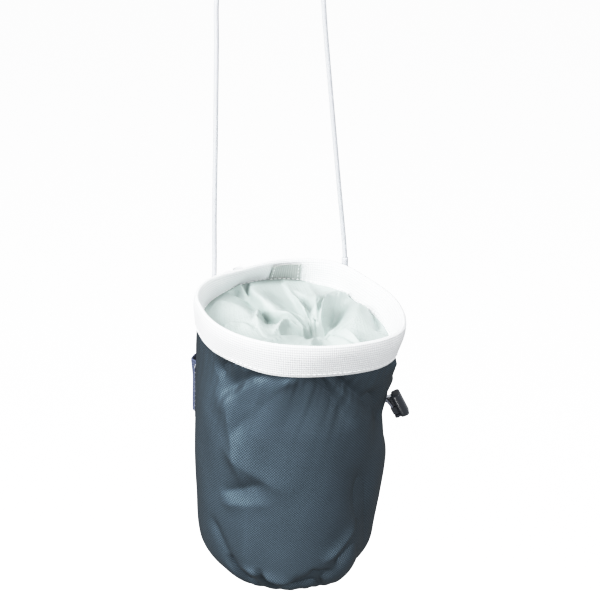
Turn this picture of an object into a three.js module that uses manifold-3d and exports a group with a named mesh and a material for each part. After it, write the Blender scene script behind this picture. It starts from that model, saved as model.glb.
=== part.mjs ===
// A climber's chalk bag: a soft shell with a webbing rim, a gathered lining that closes its mouth,
// a brush loop, a cord lock, two belt loops and a thin sling cord.
// Millimetres, +Z up, +X to the right and +Y to the back for someone who faces the bag.
// The origin is the inside of the sling cord's crown, where the bag hangs.

import * as THREE from 'three';
import { mergeVertices } from 'three/addons/utils/BufferGeometryUtils.js';
import Module from 'manifold-3d';

const wasm = await Module();
wasm.setup();

// Place of the mouth's middle, measured from the crown of the sling cord
const mouthDrop = 197;
const mouthRight = 8.9;
const mouthFront = 51.8;

// Shell
const mouthRadius = 60;
const mouthRoll = 5.5; // degrees that the mouth drops towards its right side
const viewTurn = -9; // degrees that the roll, the brush loop and the cord lock are turned from +X
const bagHeight = 176;
const bodyWidth = 114;
const bodyDepth = 112;
const cornerRadius = 25;
const clothWall = 1.4;
const foldDepth = 3;
const foldWidth = 6;
const easeLength = 42; // below the band, where the mouth's shape fades into the body's

// Webbing band folded over the shell's top edge
const bandHeight = 20;
const bandInside = 17;
const bandWall = 1.1;
const crestRound = 0.6;
const seatGap = 0.3;

// Gathered lining
const liningWall = 1.4;
const gatherRight = 9;
const gatherFront = 8;
const gatherDrop = 20;
const gatherHole = 4.5;
const billowHeight = 5;

// Join patch on the inside of the band
const patchAngle = 90;
const patchWidth = 19;
const patchWall = 0.8;
const patchInset = 1.6; // below the band's crest, and half of it above the seam

// Brush loop on the left side
const brushAngle = 149;
const brushDown = 65.5;
const brushHeight = 33;
const brushWall = 1.2;
const brushReach = 21; // along the shell, between the middles of the sewn ends
const brushStand = 5.4;

// Belt loops at the back
const beltAngles = { left: 123, right: 70 };
const beltWidth = 9;
const beltWall = 1.3;
const beltTop = 3; // below the band's crest
const beltLength = 38;
const beltStand = 7;
const sewnEnd = 5;
const loopSeat = 0.4; // from a loop's sewn end to the cloth under it

// Sling cord
const cordDiameter = 3;
const cordSides = 8;
const cordSteps = 78;
const sleeveDiameter = 4;
const sleeveSides = 12;

// Cord lock on the right side, with its tab and the visible end of the drawcord
const lockAngle = viewTurn;
const lockDown = 61;
const lockTilt = 26; // degrees from upright
const lockLength = 15.2;
const lockThick = 5.2;
const lockDeep = 8.4;
const lockRound = 2.3;
const lockEndRound = 0.8;
const lockStand = 2; // clear space between the shell and the lock's upper corner
const footLength = 1.7;
const footReach = 3.4;
const footFromEnd = 0.7;
const nubRadius = 0.9;
const nubLength = 1.4;
const buttonLength = 5.2;
const buttonDeep = 5.2;
const buttonProud = 3.7;
const buttonSunk = 1.3;
const buttonTravel = 1.6;
const buttonRound = 0.4;
const buttonChamfer = 1;
const buttonClearance = 0.25;
const pocketSpare = 0.5;
const tabWall = 1.5;
const tabWidth = 6;
const drawcordDiameter = 2.2;
const drawcordSides = 10;
const drawcordFromEnd = 1.9;

// Fineness of the soft pieces
const around = 60;
const bandRows = 1;
const wallRows = 15;
const cornerRows = 4;
const floorRows = 2;
const liningRows = 8;

// Outline of the mouth: reach is a share of mouthRadius, lean is in degrees, inwards at the top
const mouthRows = [
  { angle: -170, reach: 1.0, lean: -5 },
  { angle: -150, reach: 1.03, lean: -9 },
  { angle: -134, reach: 1.04, lean: -11 },
  { angle: -116, reach: 1.02, lean: -8 },
  { angle: -98, reach: 0.985, lean: -9 },
  { angle: -80, reach: 0.98, lean: -12 },
  { angle: -62, reach: 1.0, lean: -13 },
  { angle: -48, reach: 1.04, lean: -14 },
  { angle: -34, reach: 1.065, lean: -17 },
  { angle: -20, reach: 1.025, lean: -21 },
  { angle: -6, reach: 0.985, lean: -24 },
  { angle: 10, reach: 0.96, lean: -26 },
  { angle: 24, reach: 0.95, lean: -24 },
  { angle: 38, reach: 0.97, lean: -18 },
  { angle: 50, reach: 1.03, lean: -11 },
  { angle: 62, reach: 1.075, lean: -4 },
  { angle: 72, reach: 1.055, lean: 6 },
  { angle: 82, reach: 1.01, lean: 24 },
  { angle: 94, reach: 0.955, lean: 32 },
  { angle: 106, reach: 0.895, lean: 36 },
  { angle: 118, reach: 0.865, lean: 37 },
  { angle: 128, reach: 0.865, lean: 33 },
  { angle: 140, reach: 0.905, lean: 22 },
  { angle: 152, reach: 0.95, lean: 11 },
  { angle: 164, reach: 0.98, lean: 3 },
  { angle: 178, reach: 1.0, lean: -3 },
];

// Sections of the body: down is a share of bagHeight, width and right of bodyWidth,
// depth and back of bodyDepth
const bodyRows = [
  { down: 0.0, width: 1.04, depth: 1.06, right: -0.01, back: 0.03 },
  { down: 0.22, width: 1.025, depth: 1.03, right: -0.022, back: 0.02 },
  { down: 0.33, width: 1.0, depth: 1.0, right: -0.041, back: 0.01 },
  { down: 0.44, width: 0.99, depth: 0.985, right: -0.053, back: 0.0 },
  { down: 0.56, width: 0.998, depth: 0.98, right: -0.053, back: 0.0 },
  { down: 0.7, width: 0.977, depth: 0.965, right: -0.064, back: 0.0 },
  { down: 0.8, width: 0.955, depth: 0.945, right: -0.073, back: 0.0 },
  { down: 0.88, width: 0.925, depth: 0.925, right: -0.07, back: 0.0 },
  { down: 1.0, width: 0.88, depth: 0.9, right: -0.04, back: 0.0 },
];

// Folds of the shell: down and long are shares of bagHeight, wide of foldWidth, rise of foldDepth;
// turn is in degrees from straight down towards a growing angle
const shellFolds = [
  { name: 'left pleat', angle: -130, down: 0.166, long: 0.086, wide: 0.9, turn: -57, rise: -1.0 },
  { name: 'left pleat ridge', angle: -136, down: 0.215, long: 0.086, wide: 0.85, turn: -55, rise: 0.8 },
  { name: 'left tuck', angle: -146, down: 0.137, long: 0.04, wide: 0.75, turn: -45, rise: -0.7 },
  { name: 'right pleat', angle: -78, down: 0.206, long: 0.097, wide: 0.85, turn: 38, rise: -0.7 },
  { name: 'right pleat ridge', angle: -70, down: 0.2, long: 0.09, wide: 0.85, turn: 40, rise: 0.4 },
  { name: 'second right pleat', angle: -60, down: 0.234, long: 0.086, wide: 0.85, turn: 48, rise: -0.7 },
  { name: 'lock pinch', angle: -22, down: 0.4, long: 0.08, wide: 1.3, turn: 30, rise: -1.1 },
  { name: 'side pinch', angle: -8, down: 0.44, long: 0.057, wide: 2.0, turn: 0, rise: -0.7 },
  { name: 'middle ridge', angle: -119, down: 0.486, long: 0.091, wide: 0.85, turn: 60, rise: 0.7 },
  { name: 'lower hollow', angle: -128, down: 0.554, long: 0.063, wide: 0.8, turn: -55, rise: -0.7 },
  { name: 'lower ridge', angle: -128, down: 0.611, long: 0.057, wide: 0.85, turn: 85, rise: 0.5 },
  { name: 'left facet', angle: -125, down: 0.737, long: 0.103, wide: 0.85, turn: 0, rise: 0.5 },
  { name: 'right hollow', angle: -40, down: 0.77, long: 0.17, wide: 1.7, turn: 20, rise: -1.0 },
  { name: 'bottom crease', angle: -85, down: 0.92, long: 0.074, wide: 0.8, turn: 106, rise: -0.9 },
  { name: 'left pucker', angle: -131, down: 0.92, long: 0.034, wide: 0.8, turn: -40, rise: -0.7 },
  { name: 'middle pucker', angle: -113, down: 0.925, long: 0.029, wide: 0.75, turn: 0, rise: -0.6 },
  { name: 'right back fold', angle: 50, down: 0.36, long: 0.11, wide: 1.2, turn: -30, rise: -0.8 },
  { name: 'left back fold', angle: 122, down: 0.42, long: 0.12, wide: 1.2, turn: 35, rise: -0.8 },
  { name: 'low back fold', angle: 88, down: 0.78, long: 0.12, wide: 1.3, turn: 60, rise: -0.7 },
];

// Folds of the lining: at and reach are shares of the way from the seam to the gather,
// angle and spread are degrees about the gather, rise is a share of billowHeight
const liningFolds = [
  { name: 'long pleat', angle: 116, spread: 6, at: 0.45, reach: 0.42, rise: 1.2 },
  { name: 'left peak', angle: 125, spread: 5, at: 0.2, reach: 0.16, rise: 0.8 },
  { name: 'dimple', angle: 131, spread: 5, at: 0.32, reach: 0.14, rise: -0.7 },
  { name: 'left billow', angle: 150, spread: 14, at: 0.4, reach: 0.32, rise: 0.9 },
  { name: 'left hollow', angle: 131, spread: 7, at: 0.62, reach: 0.14, rise: -0.8 },
  { name: 'low left hollow', angle: 172, spread: 8, at: 0.62, reach: 0.2, rise: -0.6 },
  { name: 'slit', angle: 99, spread: 5, at: 0.55, reach: 0.3, rise: -1.1 },
  { name: 'back lobe', angle: 107, spread: 5, at: 0.3, reach: 0.25, rise: 0.5 },
  { name: 'middle lobe', angle: 84, spread: 9, at: 0.45, reach: 0.38, rise: 0.9 },
  { name: 'curved edge', angle: 68, spread: 6, at: 0.6, reach: 0.35, rise: 1.0 },
  { name: 'shaded hollow', angle: 58, spread: 5, at: 0.6, reach: 0.28, rise: -0.8 },
  { name: 'right billow', angle: 30, spread: 18, at: 0.5, reach: 0.35, rise: 1.2 },
  { name: 'right crease', angle: 48, spread: 6, at: 0.2, reach: 0.18, rise: -0.5 },
  { name: 'front right billow', angle: -25, spread: 14, at: 0.5, reach: 0.35, rise: 0.8 },
  { name: 'front right fold', angle: -58, spread: 9, at: 0.5, reach: 0.35, rise: 0.6 },
  { name: 'gather dip', angle: -84, spread: 12, at: 0.85, reach: 0.2, rise: -0.7 },
  { name: 'front fold', angle: -108, spread: 9, at: 0.5, reach: 0.35, rise: 0.7 },
  { name: 'front left fold', angle: -138, spread: 9, at: 0.5, reach: 0.35, rise: 0.6 },
  { name: 'left fold', angle: -166, spread: 9, at: 0.5, reach: 0.35, rise: 0.5 },
];

// The sling cord's chosen points: from the sleeve up the right strand, over the crown,
// down the left strand and across the back through both belt loops to the sleeve again
const cordPoints = [
  [45.7, 5.7, -196.7],
  [45.3, 5.6, -190],
  [41.3, 4.2, -150],
  [36.4, 2.8, -100],
  [32.1, 1.3, -55],
  [29.5, 0.1, -28],
  [25.5, 0, -13.3],
  [14.8, 0, -2.5],
  [0, 0, 1.5],
  [-14.8, 0, -2.5],
  [-25.5, 0, -13.3],
  [-29.5, -0.3, -28],
  [-30.8, -1.8, -60],
  [-32.6, -3.6, -110],
  [-34.6, -5.8, -160],
  [-35.6, -7, -196],
  [-36.2, -6.2, -204],
  [-36, -4, -210.2],
  [-31.2, 1.5, -212.9],
  [-24.5, 7.8, -213.6],
  [-14.8, 13.3, -214.2],
  [-1.9, 18.2, -214.8],
  [11.8, 19.6, -215.4],
  [22.5, 18.2, -216],
  [31.1, 13.8, -216.2],
  [37.7, 10, -215.8],
  [42.9, 7.3, -214.1],
  [45.5, 5.8, -211],
  [45.7, 5.7, -207.2],
];

const degrees = Math.PI / 180;

function mix(from, to, share) {
  return from + (to - from) * share;
}

function easeBetween(start, end, value) {
  const t = THREE.MathUtils.clamp((value - start) / (end - start), 0, 1);
  return t * t * (3 - 2 * t);
}

// The shortest way round from one angle to another, in degrees
function angleApart(angle, from) {
  return THREE.MathUtils.euclideanModulo(angle - from + 180, 360) - 180;
}

function hermite(before, start, end, after, at, column) {
  const span = end.at - start.at;
  const slopeIn = (end.row[column] - before.row[column]) / (end.at - before.at);
  const slopeOut = (after.row[column] - start.row[column]) / (after.at - start.at);
  const t = (at - start.at) / span;
  const t2 = t * t;
  const t3 = t2 * t;
  return start.row[column] * (2 * t3 - 3 * t2 + 1) + slopeIn * span * (t3 - 2 * t2 + t)
    + end.row[column] * (3 * t2 - 2 * t3) + slopeOut * span * (t3 - t2);
}

// A column of a table whose rows go once round by angle
function roundTable(rows, column, angle) {
  const count = rows.length;
  const first = rows[0].angle;
  const turned = first + THREE.MathUtils.euclideanModulo(angle - first, 360);
  let i = count - 1;
  while (rows[i].angle > turned) i -= 1;
  const pick = (k) => {
    const lap = Math.floor(k / count);
    const row = rows[k - lap * count];
    return { row, at: row.angle + 360 * lap };
  };
  return hermite(pick(i - 1), pick(i), pick(i + 1), pick(i + 2), turned, column);
}

// A column of a table whose rows go down the bag
function downTable(rows, column, down) {
  const last = rows.length - 1;
  const at = THREE.MathUtils.clamp(down, rows[0].down, rows[last].down);
  let i = last - 1;
  while (rows[i].down > at) i -= 1;
  const pick = (k) => {
    const row = rows[THREE.MathUtils.clamp(k, 0, last)];
    return { row, at: row.down };
  };
  return hermite(pick(i - 1), pick(i), pick(i + 1), pick(i + 2), at, column);
}

function heading(angle) {
  return new THREE.Vector3(Math.cos(angle * degrees), Math.sin(angle * degrees), 0);
}

// Mouth and body of the shell, from the middle of the mouth

function mouthPoint(angle, down) {
  const lean = roundTable(mouthRows, 'lean', angle) * degrees;
  const reach = roundTable(mouthRows, 'reach', angle) * mouthRadius;
  const point = heading(angle).multiplyScalar(reach + down * Math.sin(lean));
  const lift = -Math.tan(mouthRoll * degrees) * reach * Math.cos((angle - viewTurn) * degrees);
  point.z = lift - down * Math.cos(lean);
  return point;
}

function bodyMiddle(down) {
  const right = downTable(bodyRows, 'right', down / bagHeight) * bodyWidth;
  const back = downTable(bodyRows, 'back', down / bagHeight) * bodyDepth;
  return new THREE.Vector3(right, back, -down);
}

// Where a body section's outline lies: an oval about a middle that drifts with the height
function bodyPoint(angle, down, inset) {
  const share = down / bagHeight;
  const way = heading(angle);
  const width = downTable(bodyRows, 'width', share) * bodyWidth / 2 - inset;
  const depth = downTable(bodyRows, 'depth', share) * bodyDepth / 2 - inset;
  const reach = 1 / Math.hypot(way.x / width, way.y / depth);
  return way.multiplyScalar(reach).add(bodyMiddle(down));
}

function foldRise(angle, down) {
  const meanRadius = (bodyWidth + bodyDepth) / 4;
  let rise = 0;
  for (const fold of shellFolds) {
    const side = angleApart(angle, fold.angle) * degrees * meanRadius;
    const drop = down - fold.down * bagHeight;
    const turn = fold.turn * degrees;
    const along = (side * Math.sin(turn) + drop * Math.cos(turn)) / (fold.long * bagHeight);
    const across = (side * Math.cos(turn) - drop * Math.sin(turn)) / (fold.wide * foldWidth);
    rise += fold.rise * foldDepth * Math.exp(-along * along - across * across);
  }
  return rise;
}

// The shell's outside, by its distance down from the band's crest and then round the bottom corner:
// past the wall, corner runs from 0 to 1 round the corner and floor from 0 to 1 to the middle
const wallEnd = bagHeight - cornerRadius;

function shellPoint(angle, down, corner = 0, floor = 0) {
  const bend = corner * Math.PI / 2;
  const inset = cornerRadius * (1 - Math.cos(bend));
  const drop = down + cornerRadius * Math.sin(bend);
  const body = bodyPoint(angle, drop, inset).lerp(bodyMiddle(drop), floor);
  const rise = foldRise(angle, down + cornerRadius * bend) * (1 - floor)
    * easeBetween(bandHeight - 2 * seatGap, bandHeight + foldWidth, down);
  body.addScaledVector(heading(angle), rise * Math.cos(bend));
  body.z -= rise * Math.sin(bend);
  const blend = easeBetween(bandHeight, bandHeight + easeLength, down);
  if (blend >= 1) return body;
  return mouthPoint(angle, down).lerp(body, blend);
}

// The outward direction of a surface given as a function of angle and down
function outward(surface, angle, down) {
  const step = 0.5;
  const across = surface(angle + step, down).sub(surface(angle - step, down));
  const along = surface(angle, down + step).sub(surface(angle, down - step));
  return along.cross(across).normalize();
}

// A point that stands off the shell's outside by a distance, inwards if negative
function offMouth(angle, down, stand) {
  return mouthPoint(angle, down).addScaledVector(outward(mouthPoint, angle, down), stand);
}

function offShell(angle, down, stand) {
  if (down <= bandHeight) return offMouth(angle, down, stand);
  return shellPoint(angle, down).addScaledVector(outward(shellPoint, angle, down), stand);
}

// Closed skins made of rings of points

class Skin {
  constructor() {
    this.points = [];
    this.faces = [];
  }

  ring(points) {
    const ring = points.map((_, i) => this.points.length + i);
    this.points.push(...points);
    return ring;
  }

  join(upper, lower) {
    upper.forEach((a, i) => {
      const next = (i + 1) % upper.length;
      this.faces.push([a, lower[i], lower[next]], [a, lower[next], upper[next]]);
    });
  }

  close(ring, point, facing) {
    const [tip] = this.ring([point]);
    ring.forEach((a, i) => {
      const b = ring[(i + 1) % ring.length];
      this.faces.push(facing > 0 ? [a, b, tip] : [b, a, tip]);
    });
  }

  // A ring that runs along one edge and back along the other
  closeFlat(ring, facing) {
    for (let i = 0; i < ring.length / 2 - 1; i += 1) {
      const [a, b] = [ring[i], ring[i + 1]];
      const [c, d] = [ring[ring.length - 2 - i], ring[ring.length - 1 - i]];
      this.faces.push(...(facing > 0 ? [[a, b, c], [a, c, d]] : [[b, a, c], [c, a, d]]));
    }
  }

  // Faces are turned round together where the skin encloses a negative volume
  geometry() {
    const volume = this.faces.reduce((sum, [a, b, c]) => {
      const [p, q, r] = [this.points[a], this.points[b], this.points[c]];
      return sum + p.dot(new THREE.Vector3().crossVectors(q, r));
    }, 0);
    const faces = volume < 0 ? this.faces.map(([a, b, c]) => [a, c, b]) : this.faces;
    const geometry = new THREE.BufferGeometry().setFromPoints(this.points);
    geometry.setIndex(faces.flat());
    geometry.computeVertexNormals();
    return geometry;
  }
}

function ringAngles(count) {
  return Array.from({ length: count }, (_, i) => 360 * i / count - 180);
}

// A skin closed on itself round a section: each entry of the section is a function of the angle
function loopSkin(count, section) {
  const skin = new Skin();
  const rings = section.map((place) => skin.ring(ringAngles(count).map(place)));
  rings.forEach((ring, i) => skin.join(ring, rings[(i + 1) % rings.length]));
  return skin.geometry();
}

// A plate over a grid: place gives a point for a column, a share along the row, and 0 or 1 for
// its inner or outer face
function plate(columns, rows, place) {
  const skin = new Skin();
  const steps = Array.from({ length: rows + 1 }, (_, j) => j / rows);
  const rings = columns.map((column) => skin.ring([
    ...steps.map((along) => place(column, along, 1)),
    ...steps.toReversed().map((along) => place(column, along, 0)),
  ]));
  rings.slice(1).forEach((ring, i) => skin.join(rings[i], ring));
  skin.closeFlat(rings[0], 1);
  skin.closeFlat(rings[rings.length - 1], -1);
  return skin.geometry();
}

const materials = {
  shell: new THREE.MeshStandardMaterial({ color: '#465460', roughness: 0.7, metalness: 0 }),
  band: new THREE.MeshStandardMaterial({ color: '#f0f1f3', roughness: 0.85, metalness: 0 }),
  lining: new THREE.MeshStandardMaterial({ color: '#c6d0cd', roughness: 0.7, metalness: 0 }),
  patch: new THREE.MeshStandardMaterial({ color: '#b8bebc', roughness: 0.8, metalness: 0 }),
  loop: new THREE.MeshStandardMaterial({ color: '#4a5166', roughness: 0.85, metalness: 0 }),
  cord: new THREE.MeshStandardMaterial({ color: '#f2f3f5', roughness: 0.8, metalness: 0 }),
  tab: new THREE.MeshStandardMaterial({ color: '#7d818c', roughness: 0.8, metalness: 0 }),
  lock: new THREE.MeshStandardMaterial({ color: '#33363c', roughness: 0.3, metalness: 0 }),
};

const bag = new THREE.Group();
bag.position.set(mouthRight, -mouthFront, -mouthDrop);

function add(parent, name, geometry, material) {
  const mesh = new THREE.Mesh(geometry, material);
  mesh.name = name;
  parent.add(mesh);
  return mesh;
}

// Shell: the outside from the slot in the band down to the middle of the floor, and the inside back up
const slotTop = bandWall + 2 * seatGap;

function buildShell() {
  const places = [];
  for (let i = 0; i < bandRows; i += 1) {
    places.push({ down: mix(slotTop + seatGap, bandHeight, i / bandRows), corner: 0, floor: 0 });
  }
  for (let i = 0; i <= wallRows; i += 1) {
    places.push({ down: mix(bandHeight, wallEnd, i / wallRows), corner: 0, floor: 0 });
  }
  for (let i = 1; i <= cornerRows; i += 1) {
    places.push({ down: wallEnd, corner: i / cornerRows, floor: 0 });
  }
  for (let i = 1; i < floorRows; i += 1) {
    places.push({ down: wallEnd, corner: 1, floor: i / floorRows });
  }
  const skin = new Skin();
  const outside = [];
  const inside = [];
  for (const { down, corner, floor } of places) {
    const outer = ringAngles(around).map((angle) => shellPoint(angle, down, corner, floor));
    const inner = ringAngles(around).map((angle, i) => {
      if (corner === 0) return offShell(angle, down, -clothWall);
      const bend = corner * Math.PI / 2;
      const point = outer[i].clone().addScaledVector(heading(angle), -clothWall * Math.cos(bend));
      point.z += clothWall * Math.sin(bend);
      return point;
    });
    outside.push(skin.ring(outer));
    inside.push(skin.ring(inner));
  }
  for (let i = 1; i < places.length; i += 1) {
    skin.join(outside[i - 1], outside[i]);
    skin.join(inside[i], inside[i - 1]);
  }
  skin.join(inside[0], outside[0]);
  const floorMiddle = shellPoint(0, wallEnd, 1, 1);
  skin.close(outside[outside.length - 1], floorMiddle, -1);
  skin.close(inside[inside.length - 1], floorMiddle.clone().setZ(floorMiddle.z + clothWall), 1);
  return skin.geometry();
}

// Band: a webbing folded over the shell's edge, with a leg outside and a shorter one inside
function buildBand() {
  const outerFace = seatGap + bandWall;
  const innerSlot = -clothWall - seatGap;
  const innerFace = innerSlot - bandWall;
  const section = [
    [outerFace, bandHeight],
    [outerFace, crestRound],
    [outerFace - crestRound, 0],
    [innerFace + crestRound, 0],
    [innerFace, crestRound],
    [innerFace, bandInside],
    [innerSlot, bandInside],
    [innerSlot, slotTop],
    [seatGap, slotTop],
    [seatGap, bandHeight],
  ];
  return loopSkin(around, section.map(([stand, down]) => (angle) => offMouth(angle, down, stand)));
}

// Lining: from its seam under the band's inner leg to the gathered hole in the middle
function liningRise(angle, share) {
  let rise = 0;
  for (const fold of liningFolds) {
    const side = angleApart(angle, fold.angle) / fold.spread;
    const along = (share - fold.at) / fold.reach;
    rise += fold.rise * billowHeight * Math.exp(-side * side - along * along);
  }
  return rise * Math.sin(Math.PI * share) ** 0.5;
}

function liningPoint(angle, share) {
  const seam = offMouth(angle, bandInside + seatGap, -clothWall - 2 * seatGap - bandWall);
  const gather = heading(angle).multiplyScalar(gatherHole);
  gather.add(new THREE.Vector3(gatherRight, -gatherFront, -gatherDrop));
  const point = seam.lerp(gather, share);
  const about = Math.atan2(point.y + gatherFront, point.x - gatherRight) / degrees;
  point.z += liningRise(about, share);
  return point;
}

function buildLining() {
  const shares = Array.from({ length: liningRows + 1 }, (_, i) => i / liningRows);
  const seat = (down) => (angle) => offMouth(angle, bandInside + seatGap + down, -clothWall - 2 * seatGap);
  const top = shares.map((share) => (angle) => liningPoint(angle, share));
  const under = shares.toReversed().map((share) => (angle) => {
    const point = liningPoint(angle, share);
    point.z -= liningWall;
    return point;
  });
  return loopSkin(around, [seat(0), ...top, ...under, seat(liningWall)]);
}

// Join patch: a thin plate that follows the band's inner face
function buildPatch() {
  const innerFace = -clothWall - 2 * seatGap - bandWall;
  const reach = roundTable(mouthRows, 'reach', patchAngle) * mouthRadius;
  const columns = [-0.5, -0.25, 0, 0.25, 0.5];
  return plate(columns, 1, (column, along, over) => offMouth(
    patchAngle + column * patchWidth / reach / degrees,
    mix(patchInset, bandInside - patchInset / 2, along),
    innerFace - over * patchWall,
  ));
}

// How far a loop stands off along its length: sewn flat at both ends and arched between them
const archShares = [0, 0.12, 0.22, 0.32, 0.42, 0.5, 0.58, 0.68, 0.78, 0.88, 1];

function archStand(share, length, stand, seat) {
  const sewn = sewnEnd / length;
  const upper = easeBetween(sewn, 0.5 - sewn / 2, share);
  const lower = easeBetween(1 - sewn, 0.5 + sewn / 2, share);
  return mix(seat, stand, Math.min(upper, lower));
}

// Brush loop: its width stands upright and its length runs round the shell
function buildBrushLoop() {
  const length = brushReach + sewnEnd;
  const reach = shellPoint(brushAngle, brushDown).setZ(0).length();
  return plate(archShares, 4, (share, along, over) => offShell(
    brushAngle + (share - 0.5) * length / reach / degrees,
    brushDown + (along - 0.5) * brushHeight,
    archStand(share, length, brushStand, loopSeat) + over * brushWall,
  ));
}

// Belt loop: it hangs from the band's back and its lower end is sewn to the shell
function buildBeltLoop(beltAngle) {
  const proud = seatGap + bandWall;
  const reach = shellPoint(beltAngle, bandHeight).setZ(0).length();
  return plate(archShares, 2, (share, along, over) => {
    const down = beltTop + share * beltLength;
    const onBand = 1 - easeBetween(bandHeight, bandHeight + sewnEnd, down);
    const seat = loopSeat + proud * onBand;
    const stand = archStand(share, beltLength, beltStand + proud, seat);
    const angle = beltAngle + (along - 0.5) * beltWidth / reach / degrees;
    return offShell(angle, down, stand + over * beltWall);
  });
}

// Sling cord and the sleeve that holds its two ends
function roundShape(radius, sides) {
  const shape = new THREE.Shape();
  for (let i = 0; i < sides; i += 1) {
    const turn = 2 * Math.PI * i / sides;
    const corner = [radius * Math.cos(turn), radius * Math.sin(turn)];
    if (i === 0) shape.moveTo(...corner);
    else shape.lineTo(...corner);
  }
  shape.closePath();
  return shape;
}

function buildCord() {
  const path = new THREE.CatmullRomCurve3(cordPoints.map((point) => new THREE.Vector3(...point)));
  return new THREE.ExtrudeGeometry(roundShape(cordDiameter / 2, cordSides), {
    steps: cordSteps,
    extrudePath: path,
  });
}

function buildRod(start, end, diameter, sides) {
  const path = new THREE.LineCurve3(start, end);
  return new THREE.ExtrudeGeometry(roundShape(diameter / 2, sides), { steps: 1, extrudePath: path });
}

function buildSleeve() {
  const start = new THREE.Vector3(...cordPoints[cordPoints.length - 1]);
  const end = new THREE.Vector3(...cordPoints[0]);
  const way = end.clone().sub(start).normalize();
  start.addScaledVector(way, seatGap);
  end.addScaledVector(way, -seatGap);
  return buildRod(start, end, sleeveDiameter, sleeveSides);
}

// Cord lock, in a frame of its own: x away from the bag, z up along the lock, origin at the upper
// corner that is nearest the shell

function solidOf(geometry) {
  const bare = geometry.clone();
  bare.deleteAttribute('normal');
  bare.deleteAttribute('uv');
  const merged = mergeVertices(bare, 1e-4);
  return new wasm.Manifold(new wasm.Mesh({
    numProp: 3,
    vertProperties: new Float32Array(merged.attributes.position.array),
    triVerts: new Uint32Array(merged.index.array),
  }));
}

function geometryOf(solid) {
  const mesh = solid.getMesh();
  const geometry = new THREE.BufferGeometry();
  geometry.setAttribute('position', new THREE.BufferAttribute(new Float32Array(mesh.vertProperties), 3));
  geometry.setIndex(new THREE.BufferAttribute(new Uint32Array(mesh.triVerts), 1));
  geometry.computeVertexNormals();
  return geometry;
}

function block(width, deep, tall, round, place) {
  const shape = new THREE.Shape();
  const [w, d] = [width / 2 - round, deep / 2 - round];
  shape.moveTo(-w, -d);
  shape.lineTo(w, -d);
  shape.lineTo(w, d);
  shape.lineTo(-w, d);
  shape.closePath();
  const geometry = new THREE.ExtrudeGeometry(shape, {
    depth: tall - 2 * round,
    bevelEnabled: round > 0,
    bevelSize: round,
    bevelThickness: round,
    bevelSegments: 2,
    steps: 1,
  });
  geometry.translate(place.x, place.y, place.z + round - tall / 2);
  return geometry;
}

// The barrel's section is straight on the side of the bag and round on the other
function buildBarrel() {
  const half = lockDeep / 2 - lockEndRound;
  const thick = lockThick - 2 * lockEndRound;
  const round = lockRound - lockEndRound;
  const shape = new THREE.Shape();
  shape.moveTo(0, -half);
  shape.lineTo(thick - round, -half);
  shape.quadraticCurveTo(thick, -half, thick, -half + 2 * round);
  shape.lineTo(thick, half - 2 * round);
  shape.quadraticCurveTo(thick, half, thick - round, half);
  shape.lineTo(0, half);
  shape.closePath();
  const barrel = new THREE.ExtrudeGeometry(shape, {
    depth: lockLength - 2 * lockEndRound,
    bevelEnabled: true,
    bevelSize: lockEndRound,
    bevelThickness: lockEndRound,
    bevelSegments: 2,
    curveSegments: 5,
    steps: 1,
  });
  barrel.translate(lockEndRound, 0, lockEndRound - lockLength);
  return barrel;
}

const footTop = -lockLength + footFromEnd + footLength;
const buttonMiddle = footTop + buttonClearance + buttonLength / 2;

function buildLockBody() {
  const foot = block(footReach + lockThick / 2, buttonDeep + 2 * buttonRound, footLength, buttonRound, {
    x: (lockThick / 2 - footReach) / 2,
    y: 0,
    z: footTop - footLength / 2,
  });
  const nub = new THREE.CylinderGeometry(nubRadius, nubRadius, nubLength + footLength / 2, 12);
  nub.rotateX(Math.PI / 2);
  nub.translate(-footReach / 2 - nubRadius / 2, 0, footTop - footLength - nubLength / 2 + footLength / 4);
  const pocketDepth = buttonSunk + buttonTravel + pocketSpare;
  const pocket = block(
    2 * pocketDepth,
    buttonDeep + 2 * buttonClearance,
    buttonLength + 2 * buttonClearance,
    0,
    { x: 0, y: 0, z: buttonMiddle },
  );
  const solid = solidOf(buildBarrel()).add(solidOf(foot)).add(solidOf(nub)).subtract(solidOf(pocket));
  return geometryOf(solid);
}

function buildButton() {
  const inner = buttonSunk - buttonRound;
  const outer = -buttonProud + buttonRound;
  const half = buttonLength / 2 - buttonRound;
  const shape = new THREE.Shape();
  shape.moveTo(inner, -half);
  shape.lineTo(inner, half);
  shape.lineTo(outer + buttonChamfer / 2, half);
  shape.lineTo(outer, half - buttonChamfer);
  shape.lineTo(outer, -half + buttonChamfer);
  shape.lineTo(outer + buttonChamfer, -half);
  shape.closePath();
  const button = new THREE.ExtrudeGeometry(shape, {
    depth: buttonDeep - 2 * buttonRound,
    bevelEnabled: true,
    bevelSize: buttonRound,
    bevelThickness: buttonRound,
    bevelSegments: 2,
    steps: 1,
  });
  button.translate(0, 0, buttonRound - buttonDeep / 2);
  button.rotateX(Math.PI / 2);
  button.translate(0, 0, buttonMiddle);
  return button;
}

const lock = new THREE.Group();
const lockSeat = offShell(lockAngle, lockDown, lockStand);
lock.position.copy(lockSeat);
lock.rotation.set(0, -lockTilt * degrees, lockAngle * degrees, 'ZYX');
lock.updateMatrix();
const toLock = lock.matrix.clone().invert();

// The tab and the drawcord start on the shell: where its face lies in the lock's frame
function shellFace(z, stand) {
  const [upper, lower] = [lockDown, lockDown + lockLength / 2]
    .map((down) => offShell(lockAngle, down, stand).applyMatrix4(toLock));
  return mix(upper.x, lower.x, (z - upper.z) / (lower.z - upper.z));
}

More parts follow.
